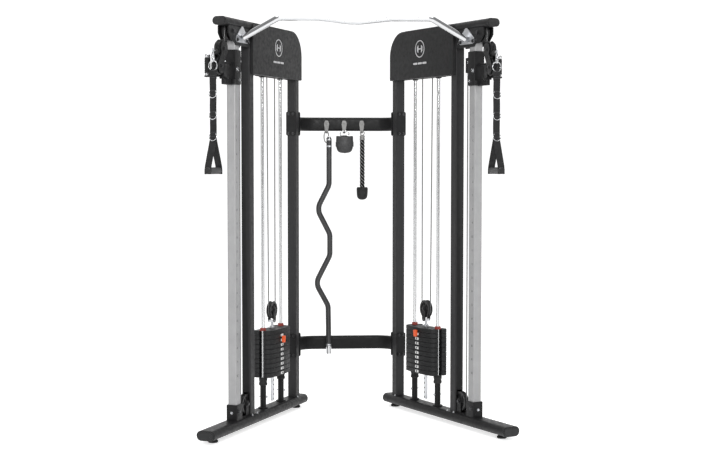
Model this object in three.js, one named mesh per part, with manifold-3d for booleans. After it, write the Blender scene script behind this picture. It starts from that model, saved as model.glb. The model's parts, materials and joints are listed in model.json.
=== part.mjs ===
// Functional trainer: two splayed weight-stack towers joined by crossbars and a pull-up bar.
// Millimetres, +Z up, front of the machine towards -Y, origin on the floor under the middle.
import * as THREE from 'three';
import { mergeVertices } from 'three/addons/utils/BufferGeometryUtils.js';
import Module from 'manifold-3d';

const wasm = await Module();
wasm.setup();

// ---------------------------------------------------------------- driving dimensions
const GAP = 0.3; // air between touching pieces
const SPLAY = THREE.MathUtils.degToRad(25); // each tower's plane against the Y axis
const REAR_X = 294; // rear upright centre, sideways from the middle

// Along a tower: u runs forwards from the rear upright, v runs inwards, z up.
const REAR_U = 0;
const REAR_TOP = 1945;
const FRONT_U = 594;
const COLUMN_U = 762;
const ROD_U = { rear: 178, front: 411 };
const STEM_U = 294;
const TUBE = { width: 50, depth: 52, wall: 3 };
const COLUMN = { width: 48, depth: 52, wall: 3, holePitch: 70, holeCount: 20, firstHole: 297.5 };
const BASE = { rear: -85, front: 1085, width: 100, height: 50, top: 70 };
const FOOT = { radius: 25, rearU: -30, frontU: 1005 };
const TOP = { rear: 112, front: 914, width: 75, height: 42, top: 2095, wall: 3 };
const TOP_UNDER = TOP.top - TOP.height;

const CABLE_R = 3;
const AXLE_R = 8;
const PULLEY = { outer: 48, run: 42.5, half: 12 }; // run: radius of the cable's centre line
const BASE_PULLEY = { outer: 52, run: 46.5, half: 12, u: 642, z: 131 };
const PULLEY_SIDES = 12;
const SWIVEL_PULLEY = { outer: 44, run: 38, half: 12 };
const FRONT_PULLEY = { u: 817, z: 2030 };
const STACK_PULLEY = { u: STEM_U, z: 2030 };
const LIFT_PULLEY = { u: 395.5, z: 1985 };
const DROP_PULLEY = { u: BASE_PULLEY.u - BASE_PULLEY.run - PULLEY.run, z: 1985 };
const FLOAT_Z = 583;

const PLATE = { count: 9, pitch: 25.4, bottom: 235, half: 143.5, width: 104, bulge: 10, corner: 28 };
const LIFTED = { left: 2, right: 1 }; // plates above the selector pin
const HEAD = { thick: 22, bushing: 14 };
const ROD_R = 9.5;
const ROD_TOP = 1828.7;
const STEM_R = 9.5;
const STEM_BOTTOM = 92;

const SLEEVE = { bottom: 1768, top: 1938, half: 30.5, rear: 731, front: 812 };
const SWIVEL_U = 858;
const SWIVEL_REST = { left: 0, right: THREE.MathUtils.degToRad(12) }; // turned inwards at rest
const HANDLE_REST = { left: THREE.MathUtils.degToRad(-5), right: THREE.MathUtils.degToRad(5) };
const UPPER_WHEEL = { u: SWIVEL_U + SWIVEL_PULLEY.run, z: 1938 };
const LOWER_WHEEL = { u: 928, z: 1850 };
const BALL = { u: 953, z: 1918, radius: 14 };
const HANG_U = 985;
const LUG = { from: 680, bottom: 1835, top: 1912 };

const BAR_R = 16;
const CROSSBAR = { y: 100, tall: 76, deep: 40, bend: 120, upperZ: 1591, lowerZ: 357 };
const FLANGE = { thick: 5.7, half: 30, tall: 132 };
const HOOK_X = [-104, -5, 94];
const HOOK = { z: 1543.5, y: 46 };

// ---------------------------------------------------------------- materials
const paint = (color, roughness, metalness) => new THREE.MeshStandardMaterial({ color, roughness, metalness });
const MATERIALS = {
  frame: () => paint(0x2a2a2c, 0.5, 0.3),
  silver: () => paint(0xa5a5a5, 0.45, 0.6),
  chrome: () => paint(0xd8dadc, 0.12, 1),
  iron: () => paint(0x26282a, 0.55, 0.3),
  zinc: () => paint(0xb8bbbd, 0.35, 0.9),
  plastic: () => paint(0x18191a, 0.4, 0),
  orange: () => paint(0xe2562b, 0.5, 0),
  rubber: () => paint(0x151515, 0.85, 0),
  cable: () => paint(0x2c2c2c, 0.4, 0.1),
  webbing: () => paint(0x202124, 0.9, 0),
};

// ---------------------------------------------------------------- solids
// Every primitive becomes a manifold solid, so that pieces can be joined and cut.
function solid(geometry) {
  geometry.deleteAttribute('normal');
  geometry.deleteAttribute('uv');
  const merged = mergeVertices(geometry, 1e-3);
  const position = merged.attributes.position.array;
  const index = merged.index.array;
  const triangles = [];
  let volume = 0;
  for (let i = 0; i < index.length; i += 3) {
    const [a, b, c] = [index[i], index[i + 1], index[i + 2]];
    if (a === b || b === c || c === a) continue;
    triangles.push(a, b, c);
    const [p, q, r] = [a, b, c].map((k) => new THREE.Vector3().fromArray(position, 3 * k));
    volume += p.dot(q.cross(r));
  }
  if (volume < 0) triangles.reverse();
  return new wasm.Manifold(new wasm.Mesh({
    numProp: 3,
    vertProperties: new Float32Array(position),
    triVerts: new Uint32Array(triangles),
  }));
}

const join = (...solids) => solids.reduce((all, next) => all.add(next));
const cut = (body, ...tools) => tools.reduce((rest, tool) => rest.subtract(tool), body);

const X_AXIS = new THREE.Vector3(1, 0, 0);
const Y_AXIS = new THREE.Vector3(0, 1, 0);
const Z_AXIS = new THREE.Vector3(0, 0, 1);
const TO_X = new THREE.Matrix4().makeBasis(Y_AXIS, Z_AXIS, X_AXIS); // outline (y, z) along x
const TO_Y = new THREE.Matrix4().makeBasis(X_AXIS, Z_AXIS, Y_AXIS.clone().negate()); // outline (x, z) along y

function block(x0, x1, y0, y1, z0, z1) {
  const geometry = new THREE.BoxGeometry(x1 - x0, y1 - y0, z1 - z0);
  return solid(geometry.translate((x0 + x1) / 2, (y0 + y1) / 2, (z0 + z1) / 2));
}

function extrude(shape, depth, curveSegments = 5) {
  return new THREE.ExtrudeGeometry(shape, { depth, bevelEnabled: false, curveSegments });
}

function extrudeX(shape, x0, x1) {
  return solid(extrude(shape, x1 - x0).applyMatrix4(TO_X).translate(x0, 0, 0));
}

function extrudeY(shape, y0, y1) {
  return solid(extrude(shape, y1 - y0).applyMatrix4(TO_Y).translate(0, y1, 0));
}

function extrudeZ(shape, z0, z1) {
  return solid(extrude(shape, z1 - z0).translate(0, 0, z0));
}

function cylinderX(radius, y, z, x0, x1, sides = 12) {
  const geometry = new THREE.CylinderGeometry(radius, radius, x1 - x0, sides).rotateZ(Math.PI / 2);
  return solid(geometry.translate((x0 + x1) / 2, y, z));
}

function cylinderY(radius, x, z, y0, y1, sides = 12) {
  const geometry = new THREE.CylinderGeometry(radius, radius, y1 - y0, sides);
  return solid(geometry.translate(x, (y0 + y1) / 2, z));
}

function cylinderZ(radius, x, y, z0, z1, sides = 12) {
  const geometry = new THREE.CylinderGeometry(radius, radius, z1 - z0, sides).rotateX(Math.PI / 2);
  return solid(geometry.translate(x, y, (z0 + z1) / 2));
}

function polygon(points) {
  return new THREE.Shape(points.map(([x, y]) => new THREE.Vector2(x, y)));
}

// A closed outline whose corners are rounded to one radius.
function roundedPolygon(points, radius, steps = 4) {
  const corners = points.map(([x, y]) => new THREE.Vector2(x, y));
  const outline = [];
  corners.forEach((corner, i) => {
    const before = corners[(i + corners.length - 1) % corners.length].clone().sub(corner).normalize();
    const after = corners[(i + 1) % corners.length].clone().sub(corner).normalize();
    const half = Math.acos(THREE.MathUtils.clamp(before.dot(after), -1, 1)) / 2;
    const centre = before.clone().add(after).normalize().multiplyScalar(radius / Math.sin(half)).add(corner);
    const start = corner.clone().addScaledVector(before, radius / Math.tan(half)).sub(centre);
    const end = corner.clone().addScaledVector(after, radius / Math.tan(half)).sub(centre);
    let sweep = end.angle() - start.angle();
    if (sweep > Math.PI) sweep -= 2 * Math.PI;
    if (sweep < -Math.PI) sweep += 2 * Math.PI;
    for (let k = 0; k <= steps; k += 1) {
      const angle = start.angle() + (sweep * k) / steps;
      outline.push([centre.x + radius * Math.cos(angle), centre.y + radius * Math.sin(angle)]);
    }
  });
  return polygon(outline);
}

function roundedRect(x0, x1, y0, y1, radius, steps = 3) {
  return roundedPolygon([[x0, y0], [x1, y0], [x1, y1], [x0, y1]], radius, steps);
}

// A route through given points whose sections stay on those points when it is extruded.
class Route extends THREE.Curve {
  constructor(points) {
    super();
    this.points = points;
  }

  getPointAt(t) {
    const place = t * (this.points.length - 1);
    const i = Math.min(Math.floor(place), this.points.length - 2);
    return this.points[i].clone().lerp(this.points[i + 1], place - i);
  }

  getPoint(t) {
    return this.getPointAt(t);
  }

  getTangentAt(t) {
    const i = Math.round(t * (this.points.length - 1));
    const last = this.points.length - 1;
    const into = this.points[i].clone().sub(this.points[Math.max(i - 1, 0)]).normalize();
    const out = this.points[Math.min(i + 1, last)].clone().sub(this.points[i]).normalize();
    return into.add(out).normalize();
  }
}

const vector = ([x, y, z]) => new THREE.Vector3(x, y, z);

// Replaces each inner corner of a chain of points by an arc.
function withBends(points, radius, steps = 5) {
  const route = [points[0]];
  for (let i = 1; i < points.length - 1; i += 1) {
    const corner = points[i];
    const back = points[i - 1].clone().sub(corner).normalize();
    const ahead = points[i + 1].clone().sub(corner).normalize();
    const half = Math.acos(back.dot(ahead)) / 2;
    const reach = radius / Math.tan(half);
    const centre = back.clone().add(ahead).normalize().multiplyScalar(radius / Math.sin(half)).add(corner);
    const start = corner.clone().addScaledVector(back, reach).sub(centre);
    const end = corner.clone().addScaledVector(ahead, reach).sub(centre);
    const turn = start.angleTo(end);
    const axis = start.clone().cross(end).normalize();
    for (let k = 0; k <= steps; k += 1) {
      route.push(start.clone().applyAxisAngle(axis, (turn * k) / steps).add(centre));
    }
  }
  route.push(points[points.length - 1]);
  return route;
}

function sweep(outline, route) {
  return solid(new THREE.ExtrudeGeometry(outline, {
    steps: route.length - 1,
    extrudePath: new Route(route),
    curveSegments: 3,
  }));
}

function ngon(radius, sides) {
  return polygon(Array.from({ length: sides }, (_, i) => {
    const angle = (2 * Math.PI * (i + 0.5)) / sides;
    return [radius * Math.cos(angle), radius * Math.sin(angle)];
  }));
}

const tube = (radius, route, sides = 8) => sweep(ngon(radius, sides), route);

// A closed ring of round wire about the x axis or the y axis.
function ring(radius, wire, x, y, z, axis = 'x', stretch = 1) {
  const geometry = new THREE.TorusGeometry(radius, wire, 5, 10);
  if (axis === 'x') geometry.rotateY(Math.PI / 2);
  else geometry.rotateX(Math.PI / 2);
  return solid(geometry.scale(1, 1, stretch).translate(x, y, z));
}

// Grooved wheel about the y axis.
function pulley({ outer, run, half }, u, z) {
  const floor = run - CABLE_R - 6;
  const bore = AXLE_R / Math.cos(Math.PI / PULLEY_SIDES) + GAP;
  const profile = [
    [bore, -half], [outer, -half], [outer, 3 - half], [floor, 0],
    [outer, half - 3], [outer, half], [bore, half], [bore, -half],
  ];
  const geometry = new THREE.LatheGeometry(profile.map(([r, y]) => new THREE.Vector2(r, y)), PULLEY_SIDES);
  return solid(geometry.translate(u, 0, z));
}

// ---------------------------------------------------------------- assembly helpers
const trainer = new THREE.Group();

function addMesh(group, name, body, material) {
  const mesh = body.getMesh();
  const geometry = new THREE.BufferGeometry();
  geometry.setAttribute('position', new THREE.BufferAttribute(mesh.vertProperties, 3));
  geometry.setIndex(new THREE.BufferAttribute(mesh.triVerts, 1));
  geometry.computeVertexNormals();
  const piece = new THREE.Mesh(geometry, MATERIALS[material]());
  piece.name = name;
  group.add(piece);
}

function towerGroup(side) {
  const group = new THREE.Group();
  group.position.set(side * REAR_X, 0, 0);
  group.rotation.z = side * SPLAY - Math.PI / 2;
  group.updateMatrix();
  return group;
}

// ---------------------------------------------------------------- tower structure
function baseRail() {
  const half = BASE.width / 2;
  const oval = roundedRect(-half, half, BASE.top - BASE.height, BASE.top, BASE.height / 2 - 0.1, 3);
  const rail = extrudeX(oval, BASE.rear, BASE.front);
  const feet = [FOOT.rearU, FOOT.frontU].map((u) => cylinderZ(FOOT.radius, u, 0, 0, BASE.top - BASE.height + 1));
  const wall = 6;
  const [halfU, halfV] = [COLUMN.depth / 2 + GAP, COLUMN.width / 2 + GAP];
  const socket = cut(
    block(COLUMN_U - halfU - wall, COLUMN_U + halfU + wall, -halfV - wall, halfV + wall, BASE.top - 1, 149),
    block(COLUMN_U - halfU, COLUMN_U + halfU, -halfV, halfV, BASE.top, 150),
  );
  const cheek = roundedPolygon([[BASE_PULLEY.u - 16, 60], [BASE_PULLEY.u + 16, 60],
    [BASE_PULLEY.u + 16, BASE_PULLEY.z + 16], [BASE_PULLEY.u - 16, BASE_PULLEY.z + 16]], 12);
  const fork = [[14, 18], [-18, -14]].map(([y0, y1]) => extrudeY(cheek, y0, y1));
  const axle = cylinderY(AXLE_R, BASE_PULLEY.u, BASE_PULLEY.z, -18, 18);
  return join(rail, ...feet, socket, ...fork, axle);
}

function squareTube({ width, depth, wall }, u, z0, z1) {
  const outer = extrudeZ(roundedRect(u - depth / 2, u + depth / 2, -width / 2, width / 2, 5, 2), z0, z1);
  const inside = roundedRect(u - depth / 2 + wall, u + depth / 2 - wall, wall - width / 2, width / 2 - wall, 2, 1);
  return cut(outer, extrudeZ(inside, z0 - 1, z1 + 1));
}

function frontUpright() {
  const slot = 15;
  const reach = BASE_PULLEY.outer + 4;
  return cut(
    squareTube(TUBE, FRONT_U, BASE.top + GAP, TOP_UNDER - GAP),
    block(FRONT_U, FRONT_U + TUBE.depth, -slot, slot, BASE.top + 4, BASE_PULLEY.z + reach),
    block(FRONT_U - TUBE.depth, FRONT_U, -slot, slot, DROP_PULLEY.z - 54, DROP_PULLEY.z + 54),
  );
}

// The plunger's holes go through the outer wall only.
function guideColumn(inward) {
  const [y0, y1] = inward > 0 ? [-COLUMN.width, 0] : [0, COLUMN.width];
  const holes = Array.from({ length: COLUMN.holeCount }, (_, i) => (
    cylinderY(6, COLUMN_U, COLUMN.firstHole + i * COLUMN.holePitch, y0, y1, 6)));
  return cut(
    squareTube(COLUMN, COLUMN_U, BASE.top + GAP, TOP_UNDER - GAP),
    cylinderY(PULLEY.outer + 4, FRONT_PULLEY.u, FRONT_PULLEY.z, -COLUMN.width, COLUMN.width, 24),
    ...holes,
  );
}

// Top rail with the gusset plates of the front pulley and the pulley box over the stack.
function topRail() {
  const section = (inset) => roundedRect(inset - TOP.width / 2, TOP.width / 2 - inset,
    TOP_UNDER + inset, TOP.top - inset, TOP.height / 2 - inset - 0.1, 3);
  const rail = cut(
    extrudeX(section(0), TOP.rear, TOP.front),
    extrudeX(section(TOP.wall), TOP.rear - 1, TOP.front - 6),
    block(FRONT_PULLEY.u - 52, FRONT_PULLEY.u + 52, -14, 14, TOP_UNDER - 1, TOP_UNDER + 5),
    block(STACK_PULLEY.u - 52, STACK_PULLEY.u + 52, -14, 14, TOP_UNDER - 1, TOP_UNDER + 5),
  );
  const gusset = roundedPolygon([[626, 2056], [626, 1962], [786, 1962], [800, 1976], [834, 1976],
    [872, 2016], [872, 2056]], 8, 2);
  const inner = COLUMN.width / 2 + GAP;
  const gussets = [[inner, inner + 6], [-inner - 6, -inner]].map(([y0, y1]) => extrudeY(gusset, y0, y1));
  const frontAxle = cylinderY(AXLE_R, FRONT_PULLEY.u, FRONT_PULLEY.z, -inner - 1, inner + 1);
  const cheekFront = FRONT_U - TUBE.depth / 2 - 2;
  const cheekRear = REAR_U + TUBE.depth / 2 + GAP;
  const cheek = polygon([[cheekRear, 1830], [cheekFront, 1830], [cheekFront, TOP_UNDER + 2], [TOP.rear + 8, TOP_UNDER + 2],
    [60, 2005], [cheekRear, REAR_TOP]]);
  const cheeks = [[15, 18], [-18, -15]].map(([y0, y1]) => extrudeY(cheek, y0, y1));
  const axles = [STACK_PULLEY, LIFT_PULLEY, DROP_PULLEY].map(({ u, z }) => cylinderY(AXLE_R, u, z, -17, 17));
  const rodPlate = cut(block(150, 450, -24, 24, ROD_TOP + GAP, 1835), block(240, 364, -12, 12, 1820, 1840));
  return join(rail, ...gussets, frontAxle, ...cheeks, ...axles, rodPlate);
}

// Flat cover on the inner side, with a return flange below the rail and one rounded corner.
function shroud(inward) {
  const [rear, front, bottom, top, radius] = [-26, 612, 1829, 2090, 134];
  const outline = (inset) => {
    const points = [[front - inset, bottom + inset], [front - inset, top - inset]];
    for (let k = 0; k <= 8; k += 1) {
      const angle = Math.PI / 2 + (Math.PI / 2) * (k / 8);
      const r = radius - inset;
      points.push([rear + radius + r * Math.cos(angle), top - radius + r * Math.sin(angle)]);
    }
    points.push([rear + inset, bottom + inset]);
    return polygon(points);
  };
  const [y0, y1, y2] = [25.5, 38.2, 42].map((y) => y * inward);
  const panel = extrudeY(outline(0), Math.min(y1, y2), Math.max(y1, y2));
  const rim = cut(
    extrudeY(outline(0), Math.min(y0, y1) - 0.1, Math.max(y0, y1) + 0.1),
    extrudeY(outline(3), -60, 60),
    block(-100, 700, -60, 60, TOP_UNDER - 4, 2100),
  );
  return join(panel, rim);
}

// Chrome rod standing in a riser tube with a rubber bumper and a cross pin.
function guideRod(u) {
  return join(
    cylinderZ(ROD_R, u, 0, 74, ROD_TOP),
    cylinderZ(17, u, 0, 1812, ROD_TOP),
    cylinderZ(27, u, 0, BASE.top + GAP, 76),
    cylinderZ(16, u, 0, 75, 193),
    cylinderZ(23, u, 0, 192, PLATE.bottom - GAP),
    cylinderY(3, u, 132, -28, 28, 8),
  );
}

// ---------------------------------------------------------------- weight stack
// Rounded plate that bulges inwards, with slots open to both ends for the guide rods.
function plateOutline(inward) {
  const { half, corner, bulge } = PLATE;
  const side = PLATE.width / 2;
  const end = half;
  const points = [];
  const arc = (cx, cy, from) => {
    for (let k = 0; k <= 1; k += 1) {
      const angle = from + (Math.PI / 2) * (0.2 + 0.6 * k);
      points.push([STEM_U + cx + corner * Math.cos(angle), cy + corner * Math.sin(angle)]);
    }
  };
  arc(end - corner, corner - side, -Math.PI / 2);
  arc(end - corner, side - corner, 0);
  arc(corner - end, side - corner, Math.PI / 2);
  arc(corner - end, corner - side, Math.PI);
  const bulged = points.map(([x, y]) => [x, y]);
  const inner = inward > 0 ? 4 : 8;
  const crown = [0.4, -0.4].map((t) => [
    STEM_U + t * (end - corner) * inward, inward * (side + bulge * (1 - t * t))]);
  bulged.splice(inner, 0, ...crown);
  return polygon(bulged);
}

function plates(inward, first, count, extraBottom = 0) {
  const z0 = PLATE.bottom + first * PLATE.pitch + extraBottom;
  const layers = [];
  for (let i = 0; i < count; i += 1) {
    const bottom = PLATE.bottom + (first + i) * PLATE.pitch + (i === 0 ? extraBottom : 0);
    const top = PLATE.bottom + (first + i + 1) * PLATE.pitch - 1.2;
    layers.push(extrudeZ(plateOutline(inward), bottom, top));
    if (i < count - 1) layers.push(block(STEM_U - 133, STEM_U + 133, -42, 42, top - 0.5, top + 1.7));
  }
  const z1 = PLATE.bottom + (first + count) * PLATE.pitch;
  const slots = [[ROD_U.front, 500], [100, ROD_U.rear]].map(([x0, x1]) => block(x0, x1, -12, 12, z0 - 9, z1 + 9));
  const rounds = [ROD_U.front, ROD_U.rear].map((u) => cylinderZ(12.5, u, 0, z0 - 9, z1 + 9, 8));
  const bore = cylinderZ(STEM_R + 2, STEM_U, 0, z0 - 9, z1 + 9, 8);
  return cut(join(...layers), ...slots, ...rounds, bore);
}

function restingPlates(inward, side) {
  return plates(inward, 0, PLATE.count - LIFTED[side]);
}

const headBottom = PLATE.bottom + PLATE.count * PLATE.pitch;
const headTop = headBottom + HEAD.thick;
const pinHeight = (side) => PLATE.bottom + (PLATE.count - LIFTED[side] + 0.5) * PLATE.pitch - 0.6;

function headPlate(inward, side) {
  const lifted = plates(inward, PLATE.count - LIFTED[side], LIFTED[side], GAP);
  const neck = block(STEM_U - 133, STEM_U + 133, -42, 42, headBottom - 2, headBottom + 1);
  const slab = extrudeZ(plateOutline(inward), headBottom, headTop);
  const bushings = Object.values(ROD_U).map((u) => cylinderZ(18, u, 0, headTop - 1, headTop + HEAD.bushing));
  const bores = Object.values(ROD_U).map((u) => cylinderZ(10.8, u, 0, 200, 600));
  const stemBore = cylinderZ(STEM_R + 2, STEM_U, 0, 200, 600, 8);
  const pinBore = cylinderY(5, STEM_U, pinHeight(side), -20, 90);
  const pinBoreMirrored = cylinderY(5, STEM_U, pinHeight(side), -90, 20);
  return cut(join(lifted, neck, slab, ...bushings), ...bores, stemBore, inward > 0 ? pinBore : pinBoreMirrored);
}

// Drilled stem with the shackle and the clevis that carries the floating pulley.
function selectorStem(side) {
  const cheek = roundedPolygon([[STEM_U - 15, 518], [STEM_U + 15, 518],
    [STEM_U + 15, FLOAT_Z + 15], [STEM_U - 15, FLOAT_Z + 15]], 11);
  const cheeks = [[14.2, 17.5], [-17.5, -14.2]].map(([y0, y1]) => extrudeY(cheek, y0, y1));
  return cut(
    join(
      cylinderZ(STEM_R, STEM_U, 0, STEM_BOTTOM, 512, 12),
      cylinderZ(15, STEM_U, 0, headTop + GAP, 497, 12),
      block(STEM_U - 11, STEM_U + 11, -8, 8, 496, 522),
      block(STEM_U - 13, STEM_U + 13, -17.5, 17.5, 518, 532),
      ...cheeks,
      cylinderY(AXLE_R, STEM_U, FLOAT_Z, -15, 15),
    ),
    cylinderY(5, STEM_U, pinHeight(side), -20, 20),
  );
}

function selectorPin(inward, side) {
  const z = pinHeight(side);
  const face = PLATE.width / 2 + PLATE.bulge + 0.6;
  const span = (y0, y1) => (inward > 0 ? [y0, y1] : [-y1, -y0]);
  const grip = roundedRect(STEM_U - 13, STEM_U + 13, z - 14, z + 22, 5, 2);
  return join(cylinderY(4, STEM_U, z, ...span(-8, face + 5)), extrudeY(grip, ...span(face, face + 15)));
}

// ---------------------------------------------------------------- carriage and handle
function carriage(inward) {
  const { bottom, top, half, rear, front } = SLEEVE;
  const inside = 0.8;
  const shell = cut(
    block(rear, front, -half, half, bottom, top),
    block(COLUMN_U - COLUMN.depth / 2 - inside, COLUMN_U + COLUMN.depth / 2 + inside,
      -COLUMN.width / 2 - inside, COLUMN.width / 2 + inside, bottom - 1, top + 1),
    block(795, front + 1, -24, 24, bottom + 22, top + 1),
  );
  const ear = (z0, z1) => extrudeZ(roundedRect(780, SWIVEL_U + 14, -14, 14, 10), z0, z1);
  const ears = join(ear(1764, 1790), ear(1866, 1874));
  const columnSpace = block(COLUMN_U - 40, COLUMN_U + COLUMN.depth / 2 + inside, -40, 40, 1700, 2000);
  const lug = block(LUG.from, rear + 1, -9, 9, LUG.bottom, LUG.top);
  const outward = -inward;
  const [b0, b1] = outward > 0 ? [half - 1, 44] : [-44, 1 - half];
  const boss = cylinderY(10, COLUMN_U, 1837.5, b0, b1);
  const bossSpan = [b0, b1, outward * 22];
  const bossBore = cylinderY(6.6, COLUMN_U, 1837.5, Math.min(...bossSpan), Math.max(...bossSpan) + 1);
  return cut(
    join(shell, cut(ears, columnSpace), lug, boss, cylinderZ(5, SWIVEL_U, 0, 1770, 1870, 10)),
    bossBore,
  );
}

// Upright grip on the outer side whose plunger locks the carriage.
function pullGrip(inward) {
  const out = -inward;
  const span = (near, far) => (out > 0 ? [near, far] : [-far, -near]);
  const arm = roundedPolygon([[747, out * 46], [777, out * 46], [777, out * 157], [747, out * 157]], 10);
  return join(
    extrudeZ(arm, 1808, 1816),
    block(750, 774, ...span(46, 58), 1808, 1849),
    cylinderY(6, COLUMN_U, 1837.5, ...span(24.8, 48)),
    cylinderZ(15, COLUMN_U + 2, out * 141, 1815, 1924),
  );
}

// Two perforated plates and a hinge block that turn about the cable's vertical run.
function swivelBracket() {
  const lobe = 37;
  const plate = ([y0, y1]) => cut(
    join(
      cylinderY(lobe, UPPER_WHEEL.u, UPPER_WHEEL.z, y0, y1, 12),
      cylinderY(lobe, LOWER_WHEEL.u, LOWER_WHEEL.z, y0, y1, 12),
      extrudeY(polygon([[UPPER_WHEEL.u - 24, UPPER_WHEEL.z - 8], [LOWER_WHEEL.u - 24, LOWER_WHEEL.z + 8],
        [LOWER_WHEEL.u + 24, LOWER_WHEEL.z + 8], [UPPER_WHEEL.u + 24, UPPER_WHEEL.z - 8]]), y0, y1),
      block(848, LOWER_WHEEL.u, y0, y1, 1800, 1862),
    ),
    ...[30, -30].flatMap((dz) => [UPPER_WHEEL, LOWER_WHEEL].map(({ u, z }) => (
      cylinderY(6, u, z + dz, y0 - 1, y1 + 1, 6)))),
  );
  const hinge = cut(
    block(846, 879, -20, 20, 1791, 1865),
    cylinderZ(6, SWIVEL_U, 0, 1780, 1880, 12),
  );
  const axles = [UPPER_WHEEL, LOWER_WHEEL].map(({ u, z }) => cylinderY(AXLE_R, u, z, -19, 19));
  return join(plate([16, 20]), plate([-20, -16]), hinge, ...axles);
}

// Ball stop, carabiner, ringed strap and grip, all hanging from the end of the cable.
function handle(turn) {
  const strap = 19;
  const legs = [50, -50].map((reach) => sweep(
    polygon([[-strap, -2], [strap, -2], [strap, 2], [-strap, 2]]),
    [vector([0, 0, 1496]), vector([0, 0, 1488]), vector([reach, 0, 1352]), vector([reach, 0, 1336])],
  ));
  const rings = [1717, 1610, 1513].map((z) => block(-6, 6, -24, 24, z - 3, z + 3));
  const hanging = join(
    ring(15, 4, 0, 0, 1897, 'x', 1.9),
    ring(24, 3, 0, 0, 1846),
    block(-4, 4, -strap, strap, 1800, 1830),
    block(-2, 2, -strap, strap, 1490, 1801),
    ...rings,
    ...legs,
    cylinderX(17, 0, 1336, -59, 59, 12),
  );
  const turned = new THREE.Matrix4().makeRotationZ(turn);
  const place = new THREE.Matrix4().makeTranslation(HANG_U, 0, 0).multiply(turned);
  return join(
    solid(new THREE.SphereGeometry(BALL.radius, 10, 6).translate(BALL.u, 0, BALL.z)),
    tube(4, [vector([BALL.u, 0, BALL.z]), vector([HANG_U, 0, 1924])], 6),
    hanging.transform(place.elements),
  );
}

// ---------------------------------------------------------------- cable
function arc(u, z, radius, fromDeg, toDeg, steps) {
  return Array.from({ length: steps + 1 }, (_, k) => {
    const angle = THREE.MathUtils.degToRad(fromDeg + ((toDeg - fromDeg) * k) / steps);
    return vector([u + radius * Math.cos(angle), 0, z + radius * Math.sin(angle)]);
  });
}

function mainCable() {
  return tube(CABLE_R, [
    ...arc(FRONT_PULLEY.u, FRONT_PULLEY.z, PULLEY.run, 0, 90, 5),
    ...arc(STACK_PULLEY.u, STACK_PULLEY.z, PULLEY.run, 90, 180, 5),
    ...arc(STEM_U, FLOAT_Z, PULLEY.run, 180, 360, 9),
    ...arc(LIFT_PULLEY.u, LIFT_PULLEY.z, PULLEY.run, 180, 90, 5),
    ...arc(DROP_PULLEY.u, DROP_PULLEY.z, PULLEY.run, 90, 0, 5),
    ...arc(BASE_PULLEY.u, BASE_PULLEY.z, BASE_PULLEY.run, 180, 360, 9),
  ], 6);
}

const nipAngle = THREE.MathUtils.radToDeg(Math.atan2(
  LOWER_WHEEL.z - UPPER_WHEEL.z, LOWER_WHEEL.u - UPPER_WHEEL.u));

function frontCable(turn) {
  const pivot = vector([SWIVEL_U, 0, 0]);
  const wrap = arc(UPPER_WHEEL.u, UPPER_WHEEL.z, SWIVEL_PULLEY.run, 180, 360 + nipAngle, 7);
  const last = wrap[wrap.length - 1];
  const exit = vector([Math.cos(THREE.MathUtils.degToRad(nipAngle + 90)), 0,
    Math.sin(THREE.MathUtils.degToRad(nipAngle + 90))]);
  wrap.push(last.clone().addScaledVector(exit, 26));
  const turned = wrap.map((point) => point.sub(pivot).applyAxisAngle(Z_AXIS, turn).add(pivot));
  return tube(CABLE_R, [vector([FRONT_PULLEY.u + PULLEY.run - 1.5, 0, FRONT_PULLEY.z - 1.5]), ...turned]);
}

function rearCable() {
  const u = BASE_PULLEY.u + BASE_PULLEY.run;
  return tube(CABLE_R, [vector([u, 0, BASE_PULLEY.z + 1.5]), vector([u, 0, LUG.bottom - GAP])]);
}

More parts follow.
